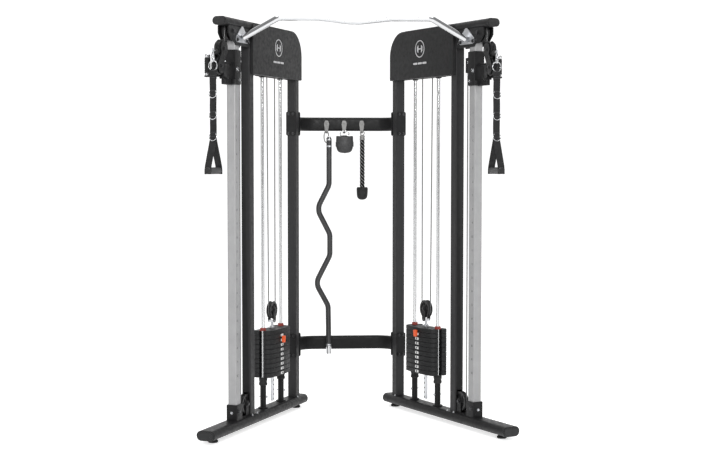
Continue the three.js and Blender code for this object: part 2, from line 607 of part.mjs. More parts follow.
// ---------------------------------------------------------------- one tower
function buildTower(sideName) {
  const side = sideName === 'left' ? -1 : 1;
  const inward = -side;
  const turn = inward * SWIVEL_REST[sideName];
  const tower = towerGroup(side);
  const add = (name, body, material, group = tower) => addMesh(group, `${sideName}_${name}`, body, material);

  add('base_rail', baseRail(), 'frame');
  add('rear_upright', squareTube(TUBE, REAR_U, BASE.top + GAP, REAR_TOP), 'frame');
  add('front_upright', frontUpright(), 'frame');
  add('guide_column', guideColumn(inward), 'silver');
  add('top_rail', topRail(), 'frame');
  add('shroud', shroud(inward), 'frame');
  add('guide_rod_rear', guideRod(ROD_U.rear), 'chrome');
  add('guide_rod_front', guideRod(ROD_U.front), 'chrome');

  add('weight_plates', restingPlates(inward, sideName), 'iron');
  add('head_plate', headPlate(inward, sideName), 'iron');
  add('selector_stem', selectorStem(sideName), 'zinc');
  add('selector_pin', selectorPin(inward, sideName), 'orange');

  add('floating_pulley', pulley(PULLEY, STEM_U, FLOAT_Z), 'plastic');
  add('front_pulley', pulley(PULLEY, FRONT_PULLEY.u, FRONT_PULLEY.z), 'plastic');
  add('stack_pulley', pulley(PULLEY, STACK_PULLEY.u, STACK_PULLEY.z), 'plastic');
  add('lift_pulley', pulley(PULLEY, LIFT_PULLEY.u, LIFT_PULLEY.z), 'plastic');
  add('drop_pulley', pulley(PULLEY, DROP_PULLEY.u, DROP_PULLEY.z), 'plastic');
  add('base_pulley', pulley(BASE_PULLEY, BASE_PULLEY.u, BASE_PULLEY.z), 'plastic');

  add('carriage', carriage(inward), 'frame');
  add('pull_grip', pullGrip(inward), 'rubber');
  add('cable_main', mainCable(), 'cable');
  add('cable_front', frontCable(turn), 'cable');
  add('cable_rear', rearCable(), 'cable');

  const swivel = new THREE.Group();
  swivel.position.set(SWIVEL_U, 0, 0);
  swivel.rotation.z = turn;
  const local = new THREE.Group();
  local.position.set(-SWIVEL_U, 0, 0);
  swivel.add(local);
  tower.add(swivel);
  add('swivel_bracket', swivelBracket(), 'frame', local);
  add('swivel_pulley_upper', pulley(SWIVEL_PULLEY, UPPER_WHEEL.u, UPPER_WHEEL.z), 'plastic', local);
  add('swivel_pulley_lower', pulley(SWIVEL_PULLEY, LOWER_WHEEL.u, LOWER_WHEEL.z), 'plastic', local);
  add('handle', handle(HANDLE_REST[sideName]), 'webbing', local);
  trainer.add(tower);
}

// ---------------------------------------------------------------- shared structure
function onTower(side, body) {
  return body.transform(towerGroup(side).matrix.elements);
}

// Crossbar bent from one rear upright to the other, with bolted end flanges.
function crossbar(z) {
  const start = -TUBE.depth / 2 - GAP - FLANGE.thick;
  const end = vector([REAR_X + start * Math.sin(SPLAY), -start * Math.cos(SPLAY), z]);
  const corner = vector([end.x - (CROSSBAR.y - end.y) * Math.tan(SPLAY), CROSSBAR.y, z]);
  const mirrored = (p) => vector([-p.x, p.y, p.z]);
  const [tall, deep] = [CROSSBAR.tall / 2, CROSSBAR.deep / 2];
  const outline = roundedRect(-tall, tall, -deep, deep, 14, 1);
  const bar = sweep(outline, withBends([mirrored(end), mirrored(corner), corner, end], CROSSBAR.bend, 4));
  const flanges = [-1, 1].map((side) => onTower(side, block(start - 2, start + FLANGE.thick,
    -FLANGE.half, FLANGE.half, z - FLANGE.tall / 2, z + FLANGE.tall / 2)));
  return join(bar, ...flanges);
}

function hook(x) {
  const face = CROSSBAR.y - CROSSBAR.deep / 2;
  const tab = roundedPolygon([[x - 8, HOOK.z - 6], [x + 8, HOOK.z - 6], [x + 14, HOOK.z + 50],
    [x + 8, HOOK.z + 68], [x - 8, HOOK.z + 68], [x - 14, HOOK.z + 50]], 5, 2);
  return join(
    extrudeY(tab, face - 5, face + 1),
    tube(4, [vector([x, face - 3, HOOK.z]), vector([x, HOOK.y - 8, HOOK.z]),
      vector([x, HOOK.y - 15, HOOK.z + 4]), vector([x, HOOK.y - 17, HOOK.z + 13])], 6),
  );
}

function pullUpBar() {
  const flange = (side) => {
    const v = [31, 36].map((y) => -side * y);
    const outline = roundedPolygon([[722, 2066], [632, 1977], [824, 1977]], 17);
    return onTower(side, extrudeY(outline, Math.min(...v), Math.max(...v)));
  };
  const root = (side) => vector([725, -side * 40, 2004]).applyMatrix4(towerGroup(side).matrix);
  const arm = (side) => [root(side), vector([side * 385, -706, 2103]), vector([side * 185, -706, 2103]),
    vector([side * 28, -706, 2085])];
  const route = withBends([...arm(-1), ...arm(1).reverse()], 60, 3);
  return join(tube(BAR_R, route, 9), flange(-1), flange(1));
}

// ---------------------------------------------------------------- hanging attachments
function curlBar() {
  const x = HOOK_X[0] + 12;
  const camber = [[0, 1520], [0, 1250], [-58, 1135], [-58, 1097], [4, 975], [4, 855], [-66, 718], [-66, 682],
    [-6, 572], [-3, 300]];
  const route = withBends(camber.map(([dx, z]) => vector([x + dx, HOOK.y - 4, z])), 28, 2);
  return join(
    tube(15, route, 8),
    ring(14, 3.2, HOOK_X[0] - 3, HOOK.y - 4, 1529.5, 'y', 2.0),
    block(HOOK_X[0] - 4, x + 6, HOOK.y - 7, HOOK.y - 1, 1497, 1508),
  );
}

function ankleCuff() {
  const x = HOOK_X[1];
  const outline = roundedPolygon([[x - 50, 1528], [x - 50, 1462], [x - 34, 1428], [x + 34, 1428],
    [x + 47, 1462], [x + 47, 1526]], 12, 3);
  const shell = extrudeY(outline, 12, 66);
  const hollow = roundedPolygon([[x - 70, 1540], [x - 70, 1452], [x + 70, 1452], [x + 70, 1540]], 4, 1);
  return join(
    cut(shell, extrudeY(hollow, 24, 54)),
    block(x - 12, x + 12, 20, 58, 1505, 1526),
    ring(24, 3, x, HOOK.y - 4, 1535, 'y', 0.7),
  );
}

function tricepRope() {
  const x = HOOK_X[2];
  const y = HOOK.y - 4;
  return join(
    ring(11, 2.5, x, y, 1541, 'y'),
    cylinderZ(14.5, x, y, 1500, 1531, 12),
    cylinderZ(14, x, y, 1232, 1502, 12),
    cylinderZ(31, x, y, 1176, 1236, 14),
    cylinderZ(22, x, y, 1167, 1180, 14),
  );
}

for (const side of ['left', 'right']) buildTower(side);
addMesh(trainer, 'crossbar_upper', join(crossbar(CROSSBAR.upperZ), ...HOOK_X.map(hook)), 'frame');
addMesh(trainer, 'crossbar_lower', crossbar(CROSSBAR.lowerZ), 'frame');
addMesh(trainer, 'pull_up_bar', pullUpBar(), 'chrome');
addMesh(trainer, 'curl_bar', curlBar(), 'rubber');
addMesh(trainer, 'ankle_cuff', ankleCuff(), 'webbing');
addMesh(trainer, 'tricep_rope', tricepRope(), 'rubber');

// The footprint's centre becomes the origin.
trainer.updateMatrixWorld(true);
const footprint = new THREE.Box3().setFromObject(trainer, true);
trainer.position.y = -(footprint.min.y + footprint.max.y) / 2;

export default trainer;
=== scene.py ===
"""Functional trainer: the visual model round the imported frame, in metres."""
import json
import math
import bmesh
import bpy
from mathutils import Matrix, Vector
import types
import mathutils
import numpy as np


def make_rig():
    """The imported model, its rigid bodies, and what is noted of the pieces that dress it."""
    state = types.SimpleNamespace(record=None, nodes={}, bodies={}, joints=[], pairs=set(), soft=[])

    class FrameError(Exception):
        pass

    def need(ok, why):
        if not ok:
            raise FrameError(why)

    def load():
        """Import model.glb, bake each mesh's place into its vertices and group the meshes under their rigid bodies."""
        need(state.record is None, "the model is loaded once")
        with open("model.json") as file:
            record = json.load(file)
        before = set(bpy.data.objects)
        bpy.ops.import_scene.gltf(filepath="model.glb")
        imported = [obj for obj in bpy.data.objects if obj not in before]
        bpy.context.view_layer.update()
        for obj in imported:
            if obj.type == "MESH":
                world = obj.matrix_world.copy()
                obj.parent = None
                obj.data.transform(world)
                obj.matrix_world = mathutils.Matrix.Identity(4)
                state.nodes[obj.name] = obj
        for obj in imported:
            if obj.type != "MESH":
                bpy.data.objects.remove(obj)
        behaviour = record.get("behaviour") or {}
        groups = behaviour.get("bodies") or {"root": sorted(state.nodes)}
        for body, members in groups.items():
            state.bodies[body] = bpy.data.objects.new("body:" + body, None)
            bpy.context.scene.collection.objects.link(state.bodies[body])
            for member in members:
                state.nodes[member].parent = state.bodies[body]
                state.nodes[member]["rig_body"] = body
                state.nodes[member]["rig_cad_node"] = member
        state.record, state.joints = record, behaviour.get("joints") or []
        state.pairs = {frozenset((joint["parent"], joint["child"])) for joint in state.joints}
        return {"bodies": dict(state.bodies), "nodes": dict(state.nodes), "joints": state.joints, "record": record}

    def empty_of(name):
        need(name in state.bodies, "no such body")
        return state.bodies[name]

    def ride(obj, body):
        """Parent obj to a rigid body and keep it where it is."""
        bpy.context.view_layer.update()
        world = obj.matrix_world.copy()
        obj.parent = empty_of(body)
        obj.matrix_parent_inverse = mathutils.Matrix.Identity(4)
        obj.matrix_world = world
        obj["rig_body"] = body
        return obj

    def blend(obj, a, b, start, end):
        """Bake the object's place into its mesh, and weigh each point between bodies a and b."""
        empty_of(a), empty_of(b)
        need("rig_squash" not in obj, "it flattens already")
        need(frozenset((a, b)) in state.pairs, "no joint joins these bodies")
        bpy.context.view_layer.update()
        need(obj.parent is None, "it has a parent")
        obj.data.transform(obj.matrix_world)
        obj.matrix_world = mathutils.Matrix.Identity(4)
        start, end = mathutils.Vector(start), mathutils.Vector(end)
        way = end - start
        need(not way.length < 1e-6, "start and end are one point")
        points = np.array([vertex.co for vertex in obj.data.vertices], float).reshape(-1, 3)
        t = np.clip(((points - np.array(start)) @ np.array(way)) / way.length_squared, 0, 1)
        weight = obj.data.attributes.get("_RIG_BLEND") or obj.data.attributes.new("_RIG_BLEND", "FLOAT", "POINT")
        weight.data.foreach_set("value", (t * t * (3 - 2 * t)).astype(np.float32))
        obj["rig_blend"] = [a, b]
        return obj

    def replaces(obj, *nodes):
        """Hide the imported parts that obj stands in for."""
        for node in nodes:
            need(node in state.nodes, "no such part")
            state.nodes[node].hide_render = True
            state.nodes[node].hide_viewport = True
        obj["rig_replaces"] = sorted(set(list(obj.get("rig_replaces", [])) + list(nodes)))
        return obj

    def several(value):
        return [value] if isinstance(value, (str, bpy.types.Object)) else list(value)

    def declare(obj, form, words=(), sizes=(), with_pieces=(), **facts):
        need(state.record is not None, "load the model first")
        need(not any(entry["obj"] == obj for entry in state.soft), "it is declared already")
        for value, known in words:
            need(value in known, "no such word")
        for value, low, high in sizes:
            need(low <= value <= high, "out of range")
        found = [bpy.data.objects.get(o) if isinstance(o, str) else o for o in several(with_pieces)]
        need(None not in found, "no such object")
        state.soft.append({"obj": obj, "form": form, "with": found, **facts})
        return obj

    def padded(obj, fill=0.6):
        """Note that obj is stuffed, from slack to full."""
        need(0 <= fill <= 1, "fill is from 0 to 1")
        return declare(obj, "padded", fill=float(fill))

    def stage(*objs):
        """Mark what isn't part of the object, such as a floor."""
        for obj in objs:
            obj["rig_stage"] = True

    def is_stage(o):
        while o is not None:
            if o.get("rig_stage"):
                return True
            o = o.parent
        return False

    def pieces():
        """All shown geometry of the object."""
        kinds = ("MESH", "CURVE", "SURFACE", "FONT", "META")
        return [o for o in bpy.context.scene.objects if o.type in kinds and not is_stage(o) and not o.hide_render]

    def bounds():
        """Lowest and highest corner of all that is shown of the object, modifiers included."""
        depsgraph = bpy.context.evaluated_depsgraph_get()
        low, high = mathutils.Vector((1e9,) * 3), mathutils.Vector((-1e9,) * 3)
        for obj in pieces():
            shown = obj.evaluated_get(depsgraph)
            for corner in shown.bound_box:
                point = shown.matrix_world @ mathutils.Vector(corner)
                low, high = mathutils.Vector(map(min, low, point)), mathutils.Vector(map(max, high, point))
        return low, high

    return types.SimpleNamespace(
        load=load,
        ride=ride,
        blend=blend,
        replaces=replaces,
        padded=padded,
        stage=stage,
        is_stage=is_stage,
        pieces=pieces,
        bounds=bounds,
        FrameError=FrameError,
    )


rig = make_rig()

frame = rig.load()
cad_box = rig.bounds()
NODES = frame["nodes"]
MM = 0.001
SPLAY = math.radians(25)
SHIFT = 442.2626  # the footprint's centre, in the towers' own frame
SIDES = {"left": -1, "right": 1}
SWIVEL_REST = {"left": 0.0, "right": math.radians(12)}
HANDLE_REST = {"left": math.radians(-5), "right": math.radians(-5)}
PLATE_BOTTOM, PITCH, PLATES = 235.0, 25.4, 9
LIFTED = {"left": 2, "right": 1}
HEAD_TOP = PLATE_BOTTOM + PLATES * PITCH + 22
PLATE_HALF = 143.5
STEM_U = 294.0
ROD_U = (178.0, 411.0)
HINGE_U = 858  # the swivel brackets' upright hinge line
HANDLE_U = 985  # the line that the handle hangs on
RING_Z = (1711, 1606.5, 1502.5)  # the handle's side rings

# Wheel centres as (u, z), then the cable's radius round them.
FLOATING_PULLEY, STACK_PULLEY, FRONT_PULLEY = (STEM_U, 583), (294, 2030), (817, 2030)
LIFT_PULLEY, DROP_PULLEY, BASE_PULLEY = (395.5, 1985), (553, 1985), (642, 131)
SWIVEL_UPPER, SWIVEL_LOWER = (896, 1938), (928, 1850)
RUN, BASE_RUN, SWIVEL_RUN = 42.5, 46.5, 38
CABLE = 3
REAR_CABLE_U = BASE_PULLEY[0] + BASE_RUN
BALL = (953, 0, 1918)  # the stop ball at the cable's end


# ------------------------------------------------------------ materials
def shader(name, color, rough, metal=0.0, vary=0.25, rough_vary=0.12, grain=900.0, bump=0.08,
           pattern=None, wear=None, **sockets):
    """Mottled colour, an optional painted highlight on sharp edges, uneven gloss and a fine relief; sockets are extra
    Principled inputs.
    """
    mat = bpy.data.materials.new(name)
    mat.use_nodes = True
    nodes, links = mat.node_tree.nodes, mat.node_tree.links
    base = nodes["Principled BSDF"]
    coords = nodes.new("ShaderNodeTexCoord").outputs["Object"]

    def noise(scale, detail=4.0):
        node = nodes.new("ShaderNodeTexNoise")
        node.inputs["Scale"].default_value = scale
        node.inputs["Detail"].default_value = detail
        links.new(coords, node.inputs["Vector"])
        return node.outputs["Fac"]

    def spread(value, low, high):
        node = nodes.new("ShaderNodeMapRange")
        node.inputs["From Min"].default_value = 0.3
        node.inputs["From Max"].default_value = 0.7
        node.inputs["To Min"].default_value = low
        node.inputs["To Max"].default_value = high
        links.new(value, node.inputs["Value"])
        return node.outputs["Result"]

    ramp = nodes.new("ShaderNodeValToRGB")
    ramp.color_ramp.elements[0].position = 0.3
    ramp.color_ramp.elements[1].position = 0.7
    ramp.color_ramp.elements[0].color = (*[c * (1 - vary) for c in color], 1)
    ramp.color_ramp.elements[1].color = (*[min(1.0, c * (1 + vary)) for c in color], 1)
    links.new(noise(14.0), ramp.inputs["Fac"])
    tint = ramp.outputs["Color"]
    # Sharp edges, found by pointiness, are mixed towards a lighter colour: a painted edge highlight.
    if wear:
        edge = nodes.new("ShaderNodeNewGeometry").outputs["Pointiness"]
        highlight_mask = nodes.new("ShaderNodeMapRange")
        highlight_mask.inputs["From Min"].default_value = 0.53
        highlight_mask.inputs["From Max"].default_value = 0.62
        links.new(edge, highlight_mask.inputs["Value"])
        mix = nodes.new("ShaderNodeMix")
        mix.data_type = "RGBA"
        links.new(highlight_mask.outputs["Result"], mix.inputs[0])
        links.new(tint, mix.inputs[6])
        mix.inputs[7].default_value = (*wear, 1)
        tint = mix.outputs[2]
    links.new(tint, base.inputs["Base Color"])
    links.new(spread(noise(55.0), max(0.03, rough - rough_vary), min(1.0, rough + rough_vary)),
              base.inputs["Roughness"])
    base.inputs["Metallic"].default_value = metal
    for key, value in sockets.items():
        base.inputs[key.replace("_", " ")].default_value = value
    relief = nodes.new("ShaderNodeBump")
    relief.inputs["Strength"].default_value = bump
    relief.inputs["Distance"].default_value = 0.0004
    if pattern == "weave":
        height = None
        for axis in ("X", "Y", "Z"):
            wave = nodes.new("ShaderNodeTexWave")
            wave.bands_direction = axis
            wave.inputs["Scale"].default_value = 190.0
            wave.inputs["Distortion"].default_value = 0.6
            links.new(coords, wave.inputs["Vector"])
            if height is None:
                height = wave.outputs["Fac"]
            else:
                add = nodes.new("ShaderNodeMath")
                add.operation = "MAXIMUM"
                links.new(height, add.inputs[0])
                links.new(wave.outputs["Fac"], add.inputs[1])
                height = add.outputs[0]
    elif pattern == "hammer":
        cells = nodes.new("ShaderNodeTexVoronoi")
        cells.inputs["Scale"].default_value = 260.0
        links.new(coords, cells.inputs["Vector"])
        height = cells.outputs["Distance"]
    else:
        height = noise(grain, 2.0)
    links.new(height, relief.inputs["Height"])
    links.new(relief.outputs["Normal"], base.inputs["Normal"])
    return mat


# The black powder coat gets a lighter colour on its sharp edges: a painted edge highlight.
BLACK = shader("powder_black", (0.0065, 0.0065, 0.0068), 0.44, 0.0, grain=1500, bump=0.12,
               wear=(0.025, 0.025, 0.026), Specular_IOR_Level=0.17)
BOLT = shader("black_oxide", (0.05, 0.05, 0.052), 0.34, 0.85, vary=0.15, rough_vary=0.1, bump=0.08)
SILVER = shader("powder_silver", (0.3, 0.3, 0.303), 0.42, 0.35, vary=0.05, grain=1800, bump=0.12)
CHROME = shader("chrome", (0.54, 0.545, 0.555), 0.1, 1.0, vary=0.03, rough_vary=0.04, bump=0.02,
                grain=300)
ROD = shader("ground_rod", (0.62, 0.625, 0.63), 0.16, 1.0, vary=0.02, rough_vary=0.03, bump=0.01,
             grain=300)
ZINC = shader("zinc", (0.55, 0.56, 0.58), 0.34, 1.0, vary=0.12, rough_vary=0.1, bump=0.08)
NICKEL = shader("nickel", (0.2, 0.198, 0.194), 0.5, 0.3, vary=0.06, rough_vary=0.08, bump=0.04)
# The cast iron gets a lighter colour on its sharp edges: a painted edge highlight.
IRON = shader("cast_iron", (0.006, 0.0061, 0.0063), 0.5, 0.0, pattern="hammer", bump=0.25,
              wear=(0.04, 0.04, 0.042), Specular_IOR_Level=0.18)
NYLON = shader("nylon_black", (0.008, 0.008, 0.0085), 0.36, 0.0, bump=0.06, Specular_IOR_Level=0.35)
RUBBER = shader("rubber", (0.01, 0.01, 0.01), 0.68, 0.0, bump=0.3, grain=700,
                Specular_IOR_Level=0.35)
SHEATH = shader("cable_sheath", (0.055, 0.055, 0.056), 0.35, 0.0, bump=0.12, grain=1200,
                Coat_Weight=0.4)
WEBBING = shader("webbing", (0.0085, 0.0085, 0.009), 0.8, 0.0, pattern="weave", bump=0.9,
                 Sheen_Weight=0.1, Specular_IOR_Level=0.3)
ROPE = shader("rope", (0.003, 0.003, 0.0032), 0.55, 0.0, bump=0.3, grain=900,
              Specular_IOR_Level=0.15)
STITCH = shader("thread", (0.11, 0.11, 0.115), 0.7, 0.0, pattern="weave", bump=0.6)
ORANGE = shader("moulded_orange", (0.72, 0.1, 0.025), 0.38, 0.0, vary=0.08, bump=0.06,
                Coat_Weight=0.2)
GRIP = shader("grip_rubber", (0.045, 0.045, 0.046), 0.55, 0.0, bump=0.3, grain=700)
RED = shader("bushing_red", (0.24, 0.03, 0.02), 0.4, 0.0, vary=0.12, bump=0.06)
LABEL = shader("label_white", (0.72, 0.72, 0.71), 0.5, 0.0, vary=0.04, bump=0.05)
EMBLEM = shader("emblem_grey", (0.5, 0.5, 0.51), 0.45, 0.3, vary=0.06, bump=0.06)
SATIN = shader("satin_black", (0.022, 0.022, 0.023), 0.4, 0.0, bump=0.1, grain=900)
# Light grey for the coils between the rope strands: painted highlight lines for the strands' gloss.
STRAND_HIGHLIGHT = shader("rope_tracer", (0.26, 0.26, 0.263), 0.6, 0.0, bump=0.3, grain=900)
NEOPRENE = shader("neoprene", (0.022, 0.022, 0.023), 0.5, 0.0, bump=0.3, grain=700,
                  Sheen_Weight=0.1)
# Black for printed numbers, and also painted shade in the flat discs that stand in for holes.
INK_AND_HOLE_SHADE = shader("ink_black", (0.012, 0.012, 0.012), 0.6, 0.0, bump=0.05)
FLOOR = shader("pale_floor", (0.8, 0.8, 0.8), 0.65, 0.0, vary=0.01, rough_vary=0.05, grain=60,
               bump=0.02, Emission_Color=(1, 1, 1, 1), Emission_Strength=0.62,
               Specular_IOR_Level=0.2)


# ------------------------------------------------------------ placing and meshing
def tower(side):
    """Tower millimetres (u forwards, v inwards, z up) to metres in the row frame."""
    s = SIDES[side]

    def place(p):
        u, v, z = p
        return Vector((s * (294 + u * math.sin(SPLAY) - v * math.cos(SPLAY)) * MM,
                       (-u * math.cos(SPLAY) - v * math.sin(SPLAY) + SHIFT) * MM, z * MM))
    return place


def turned(side, about, angle, inner=None):
    """Like tower(), after a turn about an upright line at u = about; positive turns inwards."""
    place = inner or tower(side)

    def turn(p):
        u, v, z = p
        du = u - about
        return place((about + du * math.cos(angle) - v * math.sin(angle),
                      du * math.sin(angle) + v * math.cos(angle), z))
    return turn


def plain(p):
    """Millimetres (x right, y back, z up, before the shift) to metres in the row frame."""
    return Vector((p[0] * MM, (p[1] + SHIFT) * MM, p[2] * MM))


def make(name, parts, material, place, body, bevel=0.0, smooth=35, replaces=(), blend=None,
         subdivide=0):
    """One object from (points, faces) shells given in millimetres."""
    bm = bmesh.new()
    for points, faces in parts:
        made = [bm.verts.new(place(p)) for p in points]
        for face in faces:
            corners = [made[i] for i in face]
            if len(set(corners)) > 2:
                try:
                    bm.faces.new(corners)
                except ValueError:
                    pass
    bmesh.ops.remove_doubles(bm, verts=bm.verts, dist=1e-7)
    bmesh.ops.dissolve_degenerate(bm, edges=bm.edges, dist=1e-7)
    bmesh.ops.recalc_face_normals(bm, faces=bm.faces)
    mesh = bpy.data.meshes.new(name)
    bm.to_mesh(mesh)
    bm.free()
    mesh.shade_smooth()
    mesh.set_sharp_from_angle(angle=math.radians(smooth))
    mesh.materials.append(material)
    obj = bpy.data.objects.new(name, mesh)
    bpy.context.scene.collection.objects.link(obj)
    if bevel:
        modifier = obj.modifiers.new("edges", "BEVEL")
        modifier.width = bevel * MM
        modifier.segments = 2
        modifier.limit_method = "ANGLE"
        modifier.angle_limit = math.radians(40)
        modifier.harden_normals = True
    if subdivide:
        modifier = obj.modifiers.new("smooth", "SUBSURF")
        modifier.levels = modifier.render_levels = subdivide
    if blend:
        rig.blend(obj, blend[0], body, place(blend[1]), place(blend[2]))
    else:
        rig.ride(obj, body)
    if replaces:
        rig.replaces(obj, *replaces)
    return obj


def prism(outline, axis, low, high):
    n = len(outline)
    spread = {"u": lambda p, a: (a, p[0], p[1]), "v": lambda p, a: (p[0], a, p[1]), "z": lambda p,
              a: (p[0], p[1], a)}
    points = [spread[axis](p, a) for a in (low, high) for p in outline]
    faces = [(i, (i + 1) % n, n + (i + 1) % n, n + i) for i in range(n)]
    return points, faces + [tuple(range(n)), tuple(range(2 * n - 1, n - 1, -1))]


def hollow(outer, inner, axis, low, high):
    """A prism with a hole of as many corners as its outline."""
    n = len(outer)
    a, _ = prism(outer, axis, low, high)
    b, _ = prism(inner, axis, low, high)
    faces = []
    for i in range(n):
        j = (i + 1) % n
        faces += [(i, j, n + j, n + i), (2 * n + i, 3 * n + i, 3 * n + j, 2 * n + j),
                  (i, 2 * n + i, 2 * n + j, j), (n + i, n + j, 3 * n + j, 3 * n + i)]
    return a + b, faces


def circle(p, q, r, seg=32, start=0.0):
    return [(p + r * math.cos(start + 2 * math.pi * i / seg), q
             + r * math.sin(start + 2 * math.pi * i / seg)) for i in range(seg)]


def rounded(x0, x1, y0, y1, r, steps=6):
    out = []
    for cx, cy, a in ((x1 - r, y0 + r, -90), (x1 - r, y1 - r, 0), (x0 + r, y1 - r, 90),
                      (x0 + r, y0 + r, 180)):
        for k in range(steps + 1):
            t = math.radians(a + 90 * k / steps)
            out.append((cx + r * math.cos(t), cy + r * math.sin(t)))
    return out


def round_corners(points, r, steps=6):
    out = []
    for i, corner in enumerate(points):
        c = Vector(corner)
        before = (Vector(points[i - 1]) - c).normalized()
        after = (Vector(points[(i + 1) % len(points)]) - c).normalized()
        half = before.angle(after) / 2
        centre = c + (before + after).normalized() * (r / math.sin(half))
        start = c + before * (r / math.tan(half)) - centre
        end = c + after * (r / math.tan(half)) - centre
        a, b = math.atan2(start.y, start.x), math.atan2(end.y, end.x)
        b += 2 * math.pi * round((a - b) / (2 * math.pi))
        for k in range(steps + 1):
            t = a + (b - a) * k / steps
            out.append((centre.x + r * math.cos(t), centre.y + r * math.sin(t)))
    return out


def rod(axis, p, q, r, low, high, seg=32):
    return prism(circle(p, q, r, seg), axis, low, high)


def box(u0, u1, v0, v1, z0, z1):
    return prism([(u0, v0), (u1, v0), (u1, v1), (u0, v1)], "z", z0, z1)


def lathe(profile, axis, centre, seg=48):
    """A closed (radius, height) profile turned about an axis through centre."""
    turn = {"u": lambda r, h, a: (h, r * math.cos(a), r * math.sin(a)),
            "v": lambda r, h, a: (r * math.cos(a), h, r * math.sin(a)),
            "z": lambda r, h, a: (r * math.cos(a), r * math.sin(a), h)}[axis]
    n = len(profile)
    points = []
    for i in range(seg):
        for r, h in profile:
            p = turn(r, h, 2 * math.pi * i / seg)
            points.append((p[0] + centre[0], p[1] + centre[1], p[2] + centre[2]))
    faces = [(i * n + k, i * n + (k + 1) % n, ((i + 1) % seg) * n + (k + 1) % n,
              ((i + 1) % seg) * n + k) for i in range(seg) for k in range(n)]
    return points, faces


def sweep(path, outline, closed=False, side=None):
    """An outline carried along a path without twisting; side fixes its first direction."""
    path = [Vector(p) for p in path]
    n, m = len(path), len(outline)
    points = []
    across = None
    for i, p in enumerate(path):
        ahead = path[(i + 1) % n] - p if closed or i < n - 1 else p - path[i - 1]
        behind = p - path[i - 1] if closed or i else ahead
        tangent = (ahead.normalized() + behind.normalized()).normalized()
        if across is None:
            across = Vector(side) if side else tangent.orthogonal()
        across = (across - tangent * across.dot(tangent)).normalized()
        up = tangent.cross(across)
        points += [tuple(p + across * a + up * b) for a, b in outline]
    faces = [(i * m + k, i * m + (k + 1) % m, ((i + 1) % n) * m + (k + 1) % m, ((i + 1) % n) * m
              + k) for i in range(n if closed else n - 1) for k in range(m)]
    if not closed:
        faces += [tuple(range(m)), tuple(range(n * m - 1, (n - 1) * m - 1, -1))]
    return points, faces


def wire(path, r, closed=False, seg=14):
    return sweep(path, circle(0, 0, r, seg), closed)


def bends(points, radius, steps=8):
    """The chain of points with its inner corners rounded."""
    points = [Vector(p) for p in points]
    out = [points[0]]
    for i in range(1, len(points) - 1):
        c = points[i]
        back, ahead = (points[i - 1] - c).normalized(), (points[i + 1] - c).normalized()
        half = back.angle(ahead) / 2
        if half > math.radians(89):  # as good as straight: nothing to round
            out.append(c)
            continue
        reach = radius / math.tan(half)
        centre = c + (back + ahead).normalized() * (radius / math.sin(half))
        start, end = c + back * reach - centre, c + ahead * reach - centre
        turn, axis = start.angle(end), start.cross(end)
        out += [centre + Matrix.Rotation(turn * k / steps, 3, axis) @ start
                for k in range(steps + 1)]
    return out + [points[-1]]


def oval_loop(x, y, z, half_width, half_height, steps=40):
    """Closed upright loop about (x, y, z), in the plane of the first axis and the vertical."""
    turns = [2 * math.pi * i / steps for i in range(steps)]
    return [(x + half_width * math.cos(t), y, z + half_height * math.sin(t)) for t in turns]


def hexbolt(axis, sign, p, q, face, r=9.0, tall=7.0):
    """Washer and chamfered hexagon head standing on a face."""
    at = {"u": (face, p, q), "v": (p, face, q), "z": (p, q, face)}[axis]
    washer = lathe([(0, 0), (r * 1.35, 0), (r * 1.35, sign * 1.6), (0, sign * 1.6)], axis, at, 32)
    head = prism(circle(p, q, r, 6, math.pi / 6), axis, face + sign * 1.6, face + sign * tall)
    crown = lathe([(0, sign * tall), (r * 0.86, sign * tall), (r * 0.72, sign * (tall + 1.2)),
                   (0, sign * (tall + 1.2))], axis, at, 32)
    return [washer, head, crown]


def lettering(text, size):
    """Outline faces of a short number, centred, as (points, faces) in a flat plane."""
    curve = bpy.data.curves.new("digits", "FONT")
    curve.body = text
    curve.size = size
    curve.align_x = "CENTER"
    curve.align_y = "CENTER"
    obj = bpy.data.objects.new("digits", curve)
    mesh = obj.to_mesh()
    points = [tuple(v.co) for v in mesh.vertices]
    faces = [tuple(f.vertices) for f in mesh.polygons]
    obj.to_mesh_clear()
    bpy.data.objects.remove(obj)
    return points, faces


def keep(node, material):
    """Finishes a CAD node that stays."""
    obj = NODES[node]
    obj.data.materials.clear()
    obj.data.materials.append(material)
    obj.data.shade_smooth()
    obj.data.set_sharp_from_angle(angle=math.radians(35))


# ------------------------------------------------------------ tower pieces
def wheel(side, name, centre, outer, run, place=None):
    """Grooved cable wheel with six ribs; outer and run are its rim's and its cable's radius."""
    place = place or tower(side)
    body = f"{side}_{name}"
    u, z = centre
    half = 12.0
    floor = run - 3.2
    rim = [(outer - 1.2, -half), (outer, -half + 1.2), (outer, -half + 3), (floor + 2.4, -3.6),
           (floor, -1.5), (floor, 1.5), (floor + 2.4, 3.6), (outer, half - 3), (outer, half - 1.2),
           (outer - 1.2, half), (outer - 12, half), (outer - 14, 6.0), (22, 6.0), (20, half),
           (11, half), (11, -half), (20, -half), (22, -6.0), (outer - 14, -6.0),
           (outer - 12, -half)]
    ribs = []
    for k in range(6):
        a = math.pi * k / 3
        c, s = math.cos(a), math.sin(a)
        outline = [(u + x * c - y * s, z + x * s + y * c) for x, y in
                   ((19, -2.5), (outer - 11, -2.5), (outer - 11, 2.5), (19, 2.5))]
        ribs.append(prism(outline, "v", -half + 1.5, half - 1.5))
    make(f"{body}_wheel", [lathe(rim, "v", (u, 0, z), 72)] + ribs, NYLON, place, body, 0.5,
         replaces=[body])
    bearing = [(8.2, -half - 0.3), (11, -half - 0.3), (11, half + 0.3), (8.2, half + 0.3)]
    make(f"{body}_bearing", [lathe(bearing, "v", (u, 0, z))], ZINC, place, body, 0.3)


